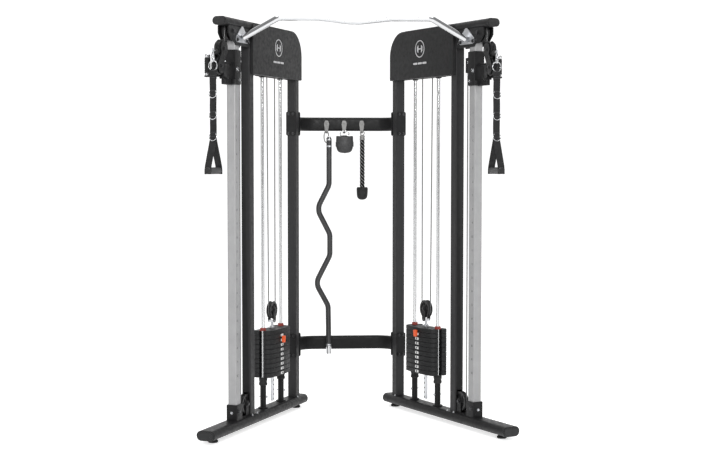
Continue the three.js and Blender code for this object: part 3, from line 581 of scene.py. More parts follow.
def arc(u, z, r, a0, a1, steps=16):
    """Cable path round a wheel, from a0 to a1 degrees."""
    return [(u + r * math.cos(math.radians(a0 + (a1 - a0) * k / steps)), 0.0,
             z + r * math.sin(math.radians(a0 + (a1 - a0) * k / steps))) for k in range(steps + 1)]


def straight(a, b, steps=40):
    a, b = Vector(a), Vector(b)
    return [tuple(a.lerp(b, k / steps)) for k in range(steps + 1)]


def plate_outline():
    """A weight plate from above: rounded corners and a bowed inner edge."""
    half, side, corner = PLATE_HALF, 52.0, 28.0
    out = []
    for cx, cy, a in ((half - corner, corner - side, -90), (half - corner, side - corner, 0)):
        out += [(STEM_U + cx + corner * math.cos(math.radians(a + 15 * k)),
                 cy + corner * math.sin(math.radians(a + 15 * k))) for k in range(7)]
    for k in range(1, 12):
        t = 1 - k / 6
        out.append((STEM_U + t * (half - corner), side + 9.0 * (1 - t * t)))
    for cx, cy, a in ((corner - half, side - corner, 90), (corner - half, corner - side, 180)):
        out += [(STEM_U + cx + corner * math.cos(math.radians(a + 15 * k)),
                 cy + corner * math.sin(math.radians(a + 15 * k))) for k in range(7)]
    return out


def slotted_outline():
    """Plate outline with the open slot round each guide rod."""
    out = plate_outline()
    half, slot = PLATE_HALF, 12.5
    right = [(STEM_U + half, -slot)] + [(ROD_U[1] + slot * math.cos(math.radians(a)),
                                         slot * math.sin(math.radians(a)))
                                        for a in range(270, 89, -20)] + [(STEM_U + half, slot)]
    left = [(STEM_U - half, slot)] + [(ROD_U[0] + slot * math.cos(math.radians(a)),
                                       slot * math.sin(math.radians(a)))
                                      for a in range(90, -91, -20)] + [(STEM_U - half, -slot)]
    return out[:7] + right + out[7:] + left


def numbers(side, name, marks, material, body, place):
    """Flat numbers on inner faces: (text, height, u, v, z)."""
    parts = []
    for text, size, u, v, z in marks:
        points, faces = lettering(text, size)
        # Read from inside the machine, text runs forwards on the right tower
        # and backwards on the left.
        s = SIDES[side]
        front = [(u - s * x, v + 0.25, z + y) for x, y, _ in points]
        parts.append((front, faces))
    make(name, parts, material, place, body)


def build_tower(side):
    T = tower(side)
    n = lambda x: f"{side}_{x}"
    part = lambda x, parts, material, body="frame", **k: make(n(x), parts, material, T, body, **k)
    F = "frame"

    # base rail, feet, column socket, fork
    oval = rounded(-50, 50, 20, 70, 24.9, 10)
    part("base_tube", [prism(oval, "u", -83, 1083)], BLACK, bevel=1.0, replaces=[n("base_rail")])
    cap = rounded(-50.4, 50.4, 19.6, 70.4, 25.2, 10)
    inner = rounded(-44, 44, 26, 64, 18.9, 10)
    part("base_caps",
         [prism(cap, "u", 1083, 1085.5), prism(inner, "u", 1084, 1089), prism(cap, "u", -86, -83),
          prism(inner, "u", -89, -85)], NYLON, bevel=1.4)
    foot = [(0, 0), (23, 0), (25, 2), (25, 9), (20, 13), (20, 21), (0, 21)]
    part("feet", [lathe(foot, "z", (u, 0, 0)) for u in (-30, 1005)], RUBBER, bevel=0.5)
    part("column_foot",
         [hollow(rounded(729.7, 794.3, -30.3, 30.3, 4), rounded(735.7, 788.3, -24.3, 24.3, 1), "z",
                 69, 149), prism(rounded(664, 730, -21, 21, 4), "z", 69.5, 75),
          box(735, 789, -24, 24, 66, 70)], BLACK, bevel=0.8)
    cheek = round_corners([(622, 60), (662, 60), (658, 147), (626, 147)], 12)
    part("base_fork", [prism(cheek, "v", a, b) for a, b in ((14, 18), (-18, -14))], BLACK,
         bevel=0.6)
    part("base_axle", [rod("v", *BASE_PULLEY, 8, -18, 18)] + hexbolt("v", 1, *BASE_PULLEY, 18, 9)
         + hexbolt("v", -1, *BASE_PULLEY, -18, 9),
         BOLT, bevel=0.3)
    part("foot_knob",
         [lathe([(0, 30.3), (10, 30.3), (10, 33), (8.5, 34), (8.5, 39), (7, 40.5), (0, 40.5)], "v",
                (779, 0, 116), 32)], BOLT)
    part("foot_bolts", hexbolt("u", 1, 0, 108, 794.3, 5) + hexbolt("z", 1, 620, 34, 69, 4)
         + hexbolt("z", 1, 560, 34, 69, 4) + hexbolt("z", 1, 24, 34, 69, 4), ZINC, bevel=0.3)

    for name in ("rear_upright", "front_upright"):
        keep(n(name), BLACK)
    keep(n("guide_column"), SILVER)
    numbers(side, n("column_scale"),
            [(str(20 - i), 16, 773, 24.0, 297.5 + 70 * i) for i in range(20)], INK_AND_HOLE_SHADE, F, T)

    # top rail, gussets and hangers
    oval = rounded(-37.5, 37.5, 2053, 2095, 20.9, 10)
    part("top_tube", [prism(oval, "u", 114, 912)], BLACK, bevel=0.8, replaces=[n("top_rail")])
    cap, plug = rounded(-37.9, 37.9, 2052.6, 2095.4, 21.2, 10), rounded(-32, 32, 2058, 2090, 15.9,
            10)
    part("top_caps",
         [prism(cap, "u", 912, 914.5), prism(plug, "u", 913, 918), prism(cap, "u", 112, 114),
          prism(plug, "u", 109, 113)], NYLON, bevel=1.2)
    gusset = round_corners([(626, 2056), (626, 1962), (786, 1962), (800, 1976), (834, 1976),
                            (872, 2016), (872, 2056)], 8)
    part("gussets", [prism(gusset, "v", a, b) for a, b in ((24.3, 30.3), (-30.3, -24.3))], BLACK,
         bevel=0.8)
    part("front_axle", [rod("v", *FRONT_PULLEY, 8, -30, 30)]
         + hexbolt("v", 1, *FRONT_PULLEY, 30.3, 10) + hexbolt("v", -1, *FRONT_PULLEY, -30.3, 10)
         + hexbolt("v", 1, 650, 1985, 30.3, 7) + hexbolt("v", 1, 650, 2035, 30.3, 7), BOLT,
         bevel=0.3)
    part("hanger_cheeks",
         [prism(round_corners([(26.4, 1830), (566, 1830), (566, 2054), (120, 2054), (60, 2005),
                               (26.4, 1945)], 3), "v", a, b) for a, b in ((15, 18), (-18, -15))],
         BLACK, bevel=0.6)
    part("hanger_axles",
         [p for u, z in (STACK_PULLEY, LIFT_PULLEY, DROP_PULLEY)
          for p in [rod("v", u, z, 8, -17, 17)] + hexbolt("v", -1, u, z, -18, 9)], BOLT, bevel=0.3)
    part("rod_plate",
         [hollow(rounded(150, 450, -24, 24, 6), rounded(240, 364, -12, 12, 4), "z", 1829, 1835)],
         BLACK, bevel=0.6)

    # shroud
    arc_points = [(-26 + 134 + 134 * math.cos(math.radians(a)), 2090 - 134
                   + 134 * math.sin(math.radians(a))) for a in range(90, 181, 5)]
    shell = rounded(560, 612, 1829, 1880, 6)[:7]
    outline = shell + [(612, 2084), (610, 2088), (606, 2090)] + arc_points + [(-26, 1835),
            (-24, 1831), (-20, 1829)]
    part("shroud_panel", [prism(outline, "v", 38.4, 42)], BLACK, bevel=1.4, replaces=[n("shroud")])
    part("shroud_rims", [box(609, 612, 25.5, 39, 1831, 2049), box(-26, -23, 25.5, 39, 1833, 1955),
                         box(-22, 608, 25.5, 39, 1829, 1832)], BLACK, bevel=0.8)
    ring = hollow(circle(289, 1985, 46, 64), circle(289, 1985, 41.5, 64), "v", 41.6, 43.4)
    weights = [box(*sorted((289 + s * a, 289 + s * b)), 41.6, 43.4, 1985 - h, 1985 + h)
               for s in (1, -1) for a, b, h in ((14, 20, 19), (22, 27, 13))]
    part("emblem",
         [ring, box(262, 316, 41.6, 43.4, 1982, 1988), *weights,
          *[prism(rounded(224 + 46 * k, 264 + 46 * k, 1903, 1913, 4.5), "v", 41.6, 43.0)
            for k in range(3)]], EMBLEM, bevel=0.5)

    # guide rods
    part("chrome_rods",
         [lathe([(0, 74), (9.5, 74), (9.5, 1828.5), (0, 1828.5)], "z", (u, 0, 0)) for u in ROD_U],
         ROD, replaces=[n("guide_rod_rear"), n("guide_rod_front")])
    part("rod_collars",
         [lathe([(9.6, 1823), (14.5, 1823), (16, 1824.5), (16, 1828.5), (9.6, 1828.5)], "z",
                (u, 0, 0)) for u in ROD_U], NYLON, bevel=0.5)
    riser = [(0, 70.3), (27, 70.3), (27, 74), (25, 76), (17.5, 76), (16, 78), (16, 193), (0, 193)]
    part("risers", [lathe(riser, "z", (u, 0, 0)) for u in ROD_U], BLACK, bevel=0.4)
    bumper = [(10, 192.5), (20, 192.5), (22.5, 196), (22.5, 205), (20.5, 208), (20.5, 216),
              (22.5, 219), (22.5, 231), (21, 234.4), (10, 234.4)]
    part("bumpers", [lathe(bumper, "z", (u, 0, 0)) for u in ROD_U], RUBBER)
    part("riser_pins",
         [p for u in ROD_U
          for p in (lathe([(0, -26), (2.6, -26), (3, -25), (3, 25), (2.6, 26), (0, 26)], "v",
                          (u, 0, 132), 20),
                    lathe([(3, 22), (6, 22), (6, 24), (3, 24)], "v", (u, 0, 132), 20))], ZINC)

    # weights
    resting = PLATES - LIFTED[side]
    slab = lambda i, gap=1.2: prism(slotted_outline(), "z", PLATE_BOTTOM + i * PITCH + 0.3,
                                    PLATE_BOTTOM + (i + 1) * PITCH - gap)
    part("stack_plates", [slab(i) for i in range(resting)], IRON, bevel=2.2,
         replaces=[n("weight_plates")])
    S = n("stack")
    part("lifted_plates", [slab(i) for i in range(resting, PLATES)]
         + [prism(slotted_outline(), "z", HEAD_TOP - 21.8, HEAD_TOP)], IRON, S, bevel=2.2,
         replaces=[n("head_plate")])
    for i in range(PLATES):
        z = PLATE_BOTTOM + (i + 0.5) * PITCH - 0.5
        body = F if i < resting else S
        make(n(f"label_{i + 1}"),
             [prism(rounded(STEM_U - 13, STEM_U + 19, z - 6.5, z + 6.5, 2), "v", 57.5, 61.2)],
             LABEL, T, body, bevel=0.3)
        numbers(side, n(f"label_text_{i + 1}"),
                [(str((PLATES + 1 - i) * 5), 9, STEM_U + 11.5, 61.2, z)], INK_AND_HOLE_SHADE, body, T)
    part("pin_hole_rings", [lathe([(5.0, 0), (6.2, 0), (6.2, 0.6), (5.0, 0.6)], "v",
         (STEM_U, 61.0, PLATE_BOTTOM + (i + 0.5) * PITCH - 0.6), 24) for i in range(resting)], ZINC)
    # Black discs on the plates' front faces at the pin holes: painted shade standing in for the holes' depth.
    part("pin_holes", [lathe([(0, 0), (5.0, 0), (5.0, 0.4), (0, 0.4)], "v",
         (STEM_U, 61.1, PLATE_BOTTOM + (i + 0.5) * PITCH - 0.6), 24) for i in range(resting)], INK_AND_HOLE_SHADE)
    bush = [(10.8, HEAD_TOP - 1), (18, HEAD_TOP - 1), (18, HEAD_TOP + 3), (15.5, HEAD_TOP + 4.5),
            (15.5, HEAD_TOP + 12), (14, HEAD_TOP + 14), (10.8, HEAD_TOP + 14)]
    part("bushings", [lathe(bush, "z", (u, 0, 0)) for u in ROD_U], RED, S)
    head = HEAD_TOP + 0.3
    part("stem",
         [lathe([(0, 92), (8, 92), (9.5, 94), (9.5, head + 3), (0, head + 3)], "z", (STEM_U, 0, 0)),
          lathe([(9, head), (15, head), (15, head + 9), (12.5, head + 12), (9, head + 12)], "z",
                (STEM_U, 0, 0)),
          lathe([(0, head + 8), (7.5, head + 8), (7.5, 520), (0, 520)], "z", (STEM_U, 0, 0)),
          prism(rounded(STEM_U - 13, STEM_U + 13, -17.5, 17.5, 4), "z", 518, 530)], ZINC, S,
         bevel=0.5, replaces=[n("selector_stem")])
    # Black discs on the stem at its holes: painted shade standing in for the holes.
    part("stem_holes",
         [lathe([(0, 9.2), (4.6, 9.2), (4.6, 9.75), (0, 9.75)], "v", (STEM_U, 0, 102 + 25.4 * i),
                20) for i in range(6)], INK_AND_HOLE_SHADE, S)
    clevis = round_corners([(STEM_U - 15, 516), (STEM_U + 15, 516), (STEM_U + 19, 600),
                            (STEM_U - 19, 600)], 13)
    part("clevis", [prism(clevis, "v", a, b) for a, b in ((14.2, 17.5), (-17.5, -14.2))], BLACK, S,
         bevel=0.6)
    part("float_axle", [rod("v", *FLOATING_PULLEY, 8, -15, 15)]
         + hexbolt("v", 1, *FLOATING_PULLEY, 17.5, 8, 5)
         + hexbolt("v", -1, *FLOATING_PULLEY, -17.5, 8, 5), BOLT, S, bevel=0.3)
    z = PLATE_BOTTOM + (resting + 0.5) * PITCH - 0.6
    P = n("pin")
    part("pin_shaft",
         [lathe([(0, -8), (3, -8), (4, -5), (4, 66), (0, 66)], "v", (STEM_U, 0, z), 24)], ZINC, P,
         replaces=[n("selector_pin")])
    grip = round_corners([(STEM_U - 10, z - 14), (STEM_U + 10, z - 14), (STEM_U + 13, z + 22),
                          (STEM_U - 13, z + 22)], 5)
    inset = round_corners([(STEM_U - 7, z - 10), (STEM_U + 7, z - 10), (STEM_U + 9, z + 18),
                           (STEM_U - 9, z + 18)], 4)
    part("pin_grip", [prism(grip, "v", 63, 75.5), prism(inset, "v", 75, 77.6)], ORANGE, P,
         bevel=1.5)

    # wheels
    for name, centre in (("floating_pulley", FLOATING_PULLEY), ("front_pulley", FRONT_PULLEY),
                         ("stack_pulley", STACK_PULLEY), ("lift_pulley", LIFT_PULLEY),
                         ("drop_pulley", DROP_PULLEY)):
        wheel(side, name, centre, 48, RUN)
    wheel(side, "base_pulley", BASE_PULLEY, 52, BASE_RUN)

    # carriage
    C = n("carriage")
    part("sleeve",
         [hollow(rounded(731, 794, -30.5, 30.5, 4), rounded(735.2, 788.8, -24.8, 24.8, 1), "z",
                 1768, 1938), prism(rounded(789, 812, -30.5, 30.5, 3), "z", 1768, 1790),
          prism(rounded(790, 872, -14, 14, 9), "z", 1764, 1790),
          prism(rounded(790, 872, -14, 14, 9), "z", 1866, 1874), box(680, 732, -9, 9, 1835, 1912)],
         BLACK, C, bevel=1.2, replaces=[n("carriage")])
    part("sleeve_liners",
         [hollow(rounded(734, 790, -26, 26, 2), rounded(735.2, 788.8, -24.8, 24.8, 1), "z", a, b)
          for a, b in ((1765.5, 1770), (1936, 1940))], NYLON, C)
    part("hinge_pin", [rod("z", HINGE_U, 0, 5, 1770, 1876)]
         + hexbolt("z", 1, HINGE_U, 0, 1874, 8, 6), ZINC, C, bevel=0.3)
    part("carriage_bolts", hexbolt("v", 1, 776, 1842, 30.5, 9) + hexbolt("v", 1, 706, 1887, 9, 8)
         + hexbolt("v", -1, 706, 1887, -9, 8) + hexbolt("v", 1, 750, 1790, 30.5, 6), CHROME, C,
         bevel=0.3)
    part("plunger_boss",
         [lathe([(6.6, -44), (10, -44), (11, -42), (11, -30), (6.6, -30)], "v", (762, 0, 1837.5),
                32)], ZINC, C)
    G = n("pull_grip")
    part("grip_arm",
         [prism(round_corners([(747, -46), (777, -46), (777, -157), (747, -157)], 10), "z", 1808,
                1816), box(750, 774, -58, -46, 1808, 1849)], BLACK, G, bevel=1.2,
         replaces=[n("pull_grip")])
    part("grip_plunger", [rod("v", 762, 1837.5, 5.8, -48, -25)], CHROME, G, bevel=0.5)
    sleeve = [(0, 1828), (15, 1828), (15.6, 1830)] + [(15.6 - 0.9 * (k % 2), 1832 + 4.5 * k)
                                                      for k in range(16)] + [(15.4, 1904),
            (14, 1906), (0, 1906)]
    part("grip_sleeve", [lathe(sleeve, "z", (764, -141, 0))], RUBBER, G)
    part("grip_ends",
         [lathe([(0, 1815), (13, 1815), (13, 1828), (0, 1828)], "z", (764, -141, 0)),
          lathe([(0, 1906), (13, 1906), (14, 1908), (14, 1920), (11, 1924), (0, 1924)], "z",
                (764, -141, 0))], CHROME, G)

    # swivel
    Q = turned(side, HINGE_U, SWIVEL_REST[side])
    W = n("swivel")
    eight = []
    for centre, a0, a1 in ((SWIVEL_UPPER, -35, 200), (SWIVEL_LOWER, 145, 380)):
        eight += [(u, z) for u, _, z in arc(*centre, 37, a0, a1, 28)]
    make(n("bracket_plates"), [prism(eight, "v", a, b) for a, b in ((16, 20), (-20, -16))]
         + [box(848, 905, a, b, 1800, 1862) for a, b in ((16, 20), (-20, -16))], BLACK, Q, W,
         bevel=0.8, replaces=[n("swivel_bracket")])
    make(n("bracket_hinge"),
         [hollow(rounded(846, 879, -20, 20, 6), rounded(852, 864, -6, 6, 5.9), "z", 1791, 1865)],
         BLACK, Q, W, bevel=0.8)
    # Black discs on the bracket plates' faces: painted shade standing in for holes.
    make(n("bracket_holes"),
         [lathe([(0, 0), (6, 0), (6, 0.25), (0, 0.25)], "v", (u, v, z + dz), 24) for u,
          z in (SWIVEL_UPPER, SWIVEL_LOWER) for dz in (30, -30) for v in (20, -20.25)], INK_AND_HOLE_SHADE, Q, W)
    make(n("bracket_axles"),
         [p for u, z in (SWIVEL_UPPER, SWIVEL_LOWER) for p in [rod("v", u, z, 8, -19, 19)]
          + hexbolt("v", 1, u, z, 20, 8, 6) + hexbolt("v", -1, u, z, -20, 8, 6)], BOLT, Q, W,
         bevel=0.3)
    wheel(side, "swivel_pulley_upper", SWIVEL_UPPER, 44, SWIVEL_RUN, Q)
    wheel(side, "swivel_pulley_lower", SWIVEL_LOWER, 44, SWIVEL_RUN, Q)

    # cables
    over_drop = (DROP_PULLEY[0], 0, DROP_PULLEY[1] + RUN)
    stack_run = (arc(*FRONT_PULLEY, RUN, 0, 90) + arc(*STACK_PULLEY, RUN, 90, 180)
                 + straight((STEM_U - RUN, 0, 2029), (STEM_U - RUN, 0, 584))
                 + arc(*FLOATING_PULLEY, RUN, 180, 360, 24)
                 + straight((STEM_U + RUN, 0, 584), (LIFT_PULLEY[0] - RUN, 0, 1984))
                 + arc(*LIFT_PULLEY, RUN, 180, 90) + [over_drop])
    part("cable_lift", [wire(stack_run, CABLE)], SHEATH, S,
         blend=(F, (294, 0, 1984), (294, 0, 600)), replaces=[n("cable_main")])
    drop_run = [over_drop] + arc(*DROP_PULLEY, RUN, 88, 0) + arc(*BASE_PULLEY, BASE_RUN, 180, 360,
            24)
    part("cable_drop", [wire(drop_run, CABLE)], SHEATH)
    part("cable_up", [wire(straight((REAR_CABLE_U, 0, 131), (REAR_CABLE_U, 0, 1834)), CABLE)],
         SHEATH, C, blend=(F, (REAR_CABLE_U, 0, 140), (REAR_CABLE_U, 0, 1820)),
         replaces=[n("cable_rear")])
    part("cable_down", [wire(straight((858.6, 0, 2031), (HINGE_U, 0, 1936)), CABLE)], SHEATH, C,
         blend=(F, (HINGE_U, 0, 2030), (HINGE_U, 0, 1940)))
    part("cable_ferrule",
         [lathe([(3, 1818), (5.5, 1819), (5.5, 1834), (3, 1835)], "z", (REAR_CABLE_U, 0, 0), 24)],
         ZINC, C)
    nip = math.atan2(SWIVEL_LOWER[1] - SWIVEL_UPPER[1], SWIVEL_LOWER[0] - SWIVEL_UPPER[0])
    wrap = arc(*SWIVEL_UPPER, SWIVEL_RUN, 180, 360 + math.degrees(nip), 24)
    end = Vector(wrap[-1])
    ball = Vector(BALL)
    make(n("cable_wrap"), [wire(wrap, CABLE)], SHEATH, Q, W, replaces=[n("cable_front")])
    make(n("cable_pull"), [wire(straight(end, ball), CABLE)], SHEATH, Q, n("handle"),
         blend=(W, tuple(end), tuple(end.lerp(ball, 0.5))))
    build_handle(side, Q, n("handle"))


def build_handle(side, Q, body):
    n = lambda x: f"{side}_{x}"
    H = turned(side, HANDLE_U, HANDLE_REST[side], Q)
    ball = [(max(0.0, 14 * math.cos(math.radians(a))), 14 * math.sin(math.radians(a)))
            for a in range(-90, 91, 10)]
    make(n("ball_stop"), [lathe(ball, "z", BALL)], RUBBER, Q, body)
    make(n("cable_end"),
         [wire(straight((962, 0, 1920), (980, 0, 1925), 3), 4.5),
          wire(oval_loop(HANDLE_U, 0, 1921, 7, 11, 32), 2.4, True)], ZINC, Q, body,
         replaces=[n("handle")])
    clip = [(HANDLE_U + (8.5 - 2.8 * math.sin(math.radians(a))) * math.cos(math.radians(a)), 0,
             1893 + 27 * math.sin(math.radians(a))) for a in range(0, 360, 9)]
    make(n("carabiner"),
         [wire(clip, 3.0, True),
          lathe([(0, 1884), (4.2, 1884), (4.2, 1900), (0, 1900)], "z", (993.5, 0, 0), 20)], CHROME,
         H, body)
    ring = [(HANDLE_U, 23.5 * math.cos(math.radians(a)), 1848 + 23.5 * math.sin(math.radians(a)))
            for a in range(0, 360, 10)]
    make(n("strap_ring"), [wire(ring, 2.2, True)], CHROME, H, body)
    band = lambda thick, width: rounded(-thick / 2, thick / 2, -width / 2, width / 2,
                                        min(thick, width) * 0.4, 3)
    strap = [(HANDLE_U, 0, 1833), (987, 0, 1815), (986, 0, 1760), (984, 0, 1700), (986, 0, 1650),
             (HANDLE_U, 0, 1600), (984, 0, 1550), (HANDLE_U, 0, 1486)]
    fold = [(HANDLE_U, 0, 1833), (981.5, 0, 1822), (981.5, 0, 1790), (984, 0, 1782)]
    across = {"side": (1, 0, 0)}
    pieces = [sweep(bends(strap, 30, 4), band(3, 38), **across),
              sweep(fold, band(2.6, 38), **across)]
    pieces += [prism(rounded(982, 989.5, -17.5, 17.5, 2), "z", z - 11, z + 24) for z in RING_Z]
    for s in (1, -1):
        leg = [(HANDLE_U + s * 2, 0, 1500), (HANDLE_U + s * 3, 0, 1486),
               (HANDLE_U + s * 27, 0, 1420), (HANDLE_U + s * 49, 0, 1358),
               (HANDLE_U + s * 52, 0, 1336), (HANDLE_U + s * 52, 0, 1322)]
        pieces.append(sweep(bends(leg[:5], 25, 5), band(3, 38), **across))
        pieces.append(prism(rounded(HANDLE_U + s * 52 - 2.5, HANDLE_U + s * 52 + 2.5, -19, 19, 2),
                            "z", 1319, 1345))
    make(n("strap"), pieces, WEBBING, H, body, smooth=50)
    rows = []
    for z in (1824, 1800, 1790, 1704, 1726, 1601, 1623, 1502, 1524, 1480):
        u = 988.6 if z < 1780 or z > 1830 else 988.0
        for k in range(9):
            v = -16 + 4 * k
            stitch = rounded(v - 1.3, v + 1.3, z - 0.5, z + 0.5, 0.4, 2)
            rows += [prism(stitch, "u", u - 0.2, u + 1.0), prism(stitch, "u", 980.2, 981.6)]
    make(n("stitching"), rows, STITCH, H, body)
    rings = []
    for z in RING_Z:
        loop = [(989.5 - 2.5 * math.cos(math.radians(a)), 21 * math.sin(math.radians(a)), z
                 + 20 * math.cos(math.radians(a))) for a in range(0, 360, 12)]
        rings.append(wire(loop, 1.9, True))
    make(n("side_rings"), rings, CHROME, H, body)
    profile = [(0, -57), (16, -57), (17, -55), (17, -46), (13.5, -43)]
    profile += [(13.8 + 3 * math.cos(math.pi * k / 28) + (0.5 if k % 2 else 0.0), 3 * k)
                for k in range(-14, 15)]
    profile += [(13.5, 43), (17, 46), (17, 55), (16, 57), (0, 57)]
    make(n("grip"), [lathe(profile, "u", (HANDLE_U, 0, 1336))], GRIP, H, body)
    make(n("grip_ends"),
         [lathe([(0, s * 57), (15.5, s * 57), (14, s * 59.5), (0, s * 59.5)], "u",
                (HANDLE_U, 0, 1336)) for s in (1, -1)], NYLON, H, body)


for tower_side in SIDES:
    build_tower(tower_side)


# ------------------------------------------------------------ shared pieces
def on_frame(name, parts, material, body="frame", **k):
    return make(name, parts, material, plain, body, **k)


def crossbar(name, z):
    start = -26 - 0.3 - 5.7
    ex, ey = 294 + start * math.sin(SPLAY), -start * math.cos(SPLAY)
    cx = ex - (100 - ey) * math.tan(SPLAY)
    path = bends([(-ex, ey, z), (-cx, 100, z), (cx, 100, z), (ex, ey, z)], 120, 16)
    on_frame(name + "_tube",
             [sweep(path, rounded(-20, 20, -38, 38, 15, 6),
                    side=(-math.sin(SPLAY), -math.cos(SPLAY), 0))], BLACK, replaces=[name])
    for side in SIDES:
        T = tower(side)
        flange = rounded(-30, 30, z - 66, z + 66, 8)
        make(f"{name}_{side}_flange",
             [prism(flange, "u", -32, -26.3), prism(flange, "u", 26.2, 29.4)], BLACK, T, "frame",
             bevel=0.8)
        bolts = [p for v in (-13, 13) for dz in (-54, 54)
                 for p in hexbolt("u", 1, v, z + dz, 29.4, 6.5)]
        bolts += [p for v in (-13, 13) for dz in (-54, 54)
                  for p in hexbolt("u", -1, v, z + dz, -32, 8)]
        make(f"{name}_{side}_bolts", bolts, BOLT, T, "frame", bevel=0.3)


crossbar("crossbar_upper", 1591)
crossbar("crossbar_lower", 357)
for i, x in enumerate((-104, -5, 94)):
    tab = round_corners([(x - 7, 1539), (x + 7, 1539), (x + 14, 1592), (x + 9, 1611), (x - 9, 1611),
                         (x - 14, 1592)], 5)
    peg = bends([(x, 78, 1543.5), (x, 38, 1543.5), (x, 31, 1547.5), (x, 29, 1556)], 3.5, 4)
    on_frame(f"hook_{i}", [prism(tab, "v", 75.2, 79.8), wire(peg, 4)], NICKEL, bevel=0.8)
    on_frame(f"hook_{i}_screw", hexbolt("v", -1, x, 1597, 75.2, 6, 3), NICKEL, bevel=0.2)

arm = lambda s: [tuple((Vector(tower("right"
                                     if s > 0 else "left")((725, 40, 2004))) / MM - Vector((0,
        SHIFT, 0)))), (s * 385, -706, 2103), (s * 185, -706, 2103), (s * 28, -706, 2085)]
on_frame("pull_up_tube", [sweep(bends(arm(-1) + arm(1)[::-1], 60, 12), circle(0, 0, 16, 32))],
         CHROME, replaces=["pull_up_bar"])
for side in SIDES:
    flange = round_corners([(722, 2066), (632, 1977), (824, 1977)], 17)
    make(f"bar_{side}_flange", [prism(flange, "v", 31, 36)], ZINC, tower(side), "frame", bevel=0.8)
    bolts = [p for u, z in ((672, 1990), (784, 1990)) for p in hexbolt("v", 1, u, z, 36, 7)]
    make(f"bar_{side}_bolts", bolts, BOLT, tower(side), "frame", bevel=0.3)

# curl bar
x, y = -92, 42
camber = [(0, 1500), (0, 1250), (-58, 1135), (-58, 1097), (4, 975), (4, 855), (-66, 718),
          (-66, 682), (-6, 572), (-3, 345)]
path = bends([(x + dx, y, z) for dx, z in camber], 68, 14)
on_frame("curl_bar_body", [sweep(path, circle(0, 0, 15, 32))], SATIN, "curl_bar",
         replaces=["curl_bar"])
on_frame("curl_bar_ends",
         [lathe([(0, 1500), (15, 1500), (15.5, 1502), (15.5, 1509), (11, 1516), (11, 1521),
                 (0, 1521)], "z", (x, y, 0)),
          lathe([(0, 300), (14, 300), (15.4, 302), (15.4, 345), (0, 345)], "z", (x - 3, y, 0))],
         CHROME, "curl_bar")
on_frame("curl_bar_rings",
         [lathe([(14.5, z - 4.5), (16.2, z - 4.5), (16.2, z + 4.5), (14.5, z + 4.5)], "z",
                (px, y, 0)) for px, z in ((x, 1467), (x - 3, 352))], ZINC, "curl_bar", bevel=0.3)
clip = oval_loop(x - 15, y, 1520, 13, 32)
on_frame("curl_bar_clip", [wire(clip, 3.2, True), box(x - 16, x + 6, y - 3, y + 3, 1508, 1514)],
         NICKEL, "curl_bar", bevel=0.5)

# ankle cuff: curved padded band with a pull ring
x, seg = -5, 48


def cuff_ring(radius_x, radius_y, z, drop):
    return [(x + radius_x * math.cos(a), 39 + radius_y * math.sin(a),
             z - drop * (1 - abs(math.cos(a))))
            for a in (2 * math.pi * k / seg for k in range(seg))]


rows = [(24, 14, 1430), (36, 21, 1435), (45, 26, 1449), (48, 27, 1468), (48.5, 27, 1490),
        (48.5, 27, 1512), (47.5, 26, 1523), (45, 23, 1526), (42, 20, 1522), (41, 19, 1500),
        (40, 19, 1470), (34, 14, 1452), (24, 8, 1446)]
points, faces = [], []
for rx, ry, z in rows:
    points += cuff_ring(rx, ry, z, 4)
for r in range(len(rows) - 1):
    faces += [(r * seg + k, r * seg + (k + 1) % seg, (r + 1) * seg + (k + 1) % seg, (r + 1) * seg
               + k) for k in range(seg)]
faces += [tuple(range(seg)), tuple(range((len(rows) - 1) * seg, len(rows) * seg))]
cuff = on_frame("ankle_cuff_pad", [(points, faces)], NEOPRENE, "ankle_cuff", subdivide=1, smooth=60,
                replaces=["ankle_cuff"])
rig.padded(cuff, fill=0.7)
band = [(x + 49.5 * math.cos(math.radians(a)), 39 + 27.5 * math.sin(math.radians(a)), 1478)
        for a in range(180, 361, 6)]
on_frame("ankle_cuff_band", [sweep(band, rounded(-1.2, 1.2, -14, 14, 1, 2), side=(-1, 0, 0))],
         NEOPRENE, "ankle_cuff")
on_frame("ankle_cuff_loop",
         [prism(rounded(x - 13, x + 13, 22, 26, 1.5), "z", 1500, 1527),
          prism(rounded(x - 13, x + 13, 52, 56, 1.5), "z", 1500, 1527),
          prism(rounded(x - 13, x + 13, 22, 56, 2), "z", 1524, 1527.5)], WEBBING, "ankle_cuff",
         bevel=0.6)
ring = oval_loop(x, 42, 1535.5, 25, 16)
on_frame("ankle_cuff_ring", [wire(ring, 2.8, True)], CHROME, "ankle_cuff")

# twisted rope
x, y = 94, 42
TWIST = 27  # path points in a full turn
FALL = 2.1  # millimetres down per point
strands, painted_highlights = [], []
for k in range(3):
    coil = [(x + 8 * math.cos(2 * math.pi * (t / TWIST + k / 3)), y
             + 8 * math.sin(2 * math.pi * (t / TWIST + k / 3)), 1504 - FALL * t)
            for t in range(129)]
    strands.append(wire(coil, 6.1))
    # Light grey coils laid between the strands: painted highlight lines for the strands' gloss.
    groove = [(x + 10.6 * math.cos(2 * math.pi * (t / TWIST + (k + 0.5) / 3)), y
               + 10.6 * math.sin(2 * math.pi * (t / TWIST + (k + 0.5) / 3)), 1502 - FALL * t)
              for t in range(127)]
    painted_highlights.append(wire(groove, 1.6, seg=8))
on_frame("rope_strands", strands, ROPE, "tricep_rope", replaces=["tricep_rope"])
on_frame("rope_tracers", painted_highlights, STRAND_HIGHLIGHT, "tricep_rope")
ring = oval_loop(x, y, 1540, 11.5, 11, 32)
on_frame("rope_ring",
         [wire(ring, 2.5, True),
          lathe([(0, 1502), (14.5, 1502), (15, 1504), (15, 1509), (13.5, 1511), (13.5, 1518),
                 (15, 1520), (15, 1524), (8, 1531), (0, 1531)], "z", (x, y, 0))], NICKEL,
         "tricep_rope")
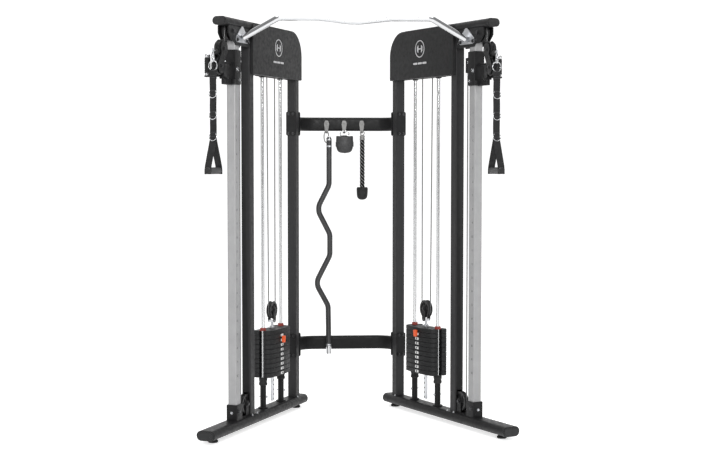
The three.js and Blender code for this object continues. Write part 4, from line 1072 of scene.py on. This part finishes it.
stopper = [(0, 1167), (10, 1168), (20, 1172), (27, 1180), (30, 1192), (31, 1206), (32, 1226),
           (31, 1234), (28, 1238), (22, 1237), (17, 1230), (15, 1222), (0, 1222)]
on_frame("rope_stopper", [lathe(stopper, "z", (x, y, 0))], RUBBER, "tricep_rope")


# ------------------------------------------------------------ floor, light, camera
profile = [(-30, 0),
           (10, 0)] + [(10 + 6 * math.sin(math.radians(a)), 6 - 6 * math.cos(math.radians(a)))
                       for a in range(10, 91, 10)] + [(16, 30)]
floor_mesh = bpy.data.meshes.new("floor")
floor_mesh.from_pydata([(x, y, z) for y, z in profile for x in (-30, 30)], [],
                       [(2 * i, 2 * i + 1, 2 * i + 3, 2 * i + 2) for i in range(len(profile) - 1)])
floor_mesh.shade_smooth()
floor_mesh.materials.append(FLOOR)
floor = bpy.data.objects.new("floor", floor_mesh)
bpy.context.scene.collection.objects.link(floor)
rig.stage(floor)

world = bpy.data.worlds.new("studio")
world.use_nodes = True
world.node_tree.nodes["Background"].inputs["Color"].default_value = (1, 1, 1, 1)
world.node_tree.nodes["Background"].inputs["Strength"].default_value = 0.38
bpy.context.scene.world = world


def lamp(name, position, target, size, power):
    light = bpy.data.lights.new(name, "AREA")
    light.shape = "RECTANGLE"
    light.size, light.size_y = size
    light.energy = power
    obj = bpy.data.objects.new(name, light)
    obj.location = position
    obj.rotation_euler = (Vector(target) - Vector(position)).to_track_quat("-Z", "Y").to_euler()
    bpy.context.scene.collection.objects.link(obj)


lamp("overhead", (0, -0.8, 5.2), (0, 0, 0.6), (4.5, 4.0), 150)
lamp("key", (0, -6.6, 3.1), (0, 0, 1.1), (2.6, 1.4), 210)
lamp("left_bank", (-4.6, -3.0, 2.2), (-0.4, 0, 1.0), (1.2, 3.4), 30)
lamp("right_bank", (4.6, -3.0, 2.2), (0.4, 0, 1.0), (1.2, 3.4), 30)

camera = bpy.data.cameras.new("camera")
camera.lens = 70.24
camera.sensor_width = 36
tilt_down, pan = 0.0525, -0.0729
eye = bpy.data.objects.new("camera", camera)
eye.location = (-0.5228, (-7657.9 + SHIFT) * MM, 1.3777)
eye.rotation_euler = (math.pi / 2 - tilt_down, 0, pan)
bpy.context.scene.collection.objects.link(eye)
bpy.context.scene.camera = eye
bpy.context.scene.view_settings.view_transform = "Standard"

with open("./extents.json", "w") as out:
    json.dump({"cad": [list(c) for c in cad_box], "visual": [list(c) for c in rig.bounds()]}, out)
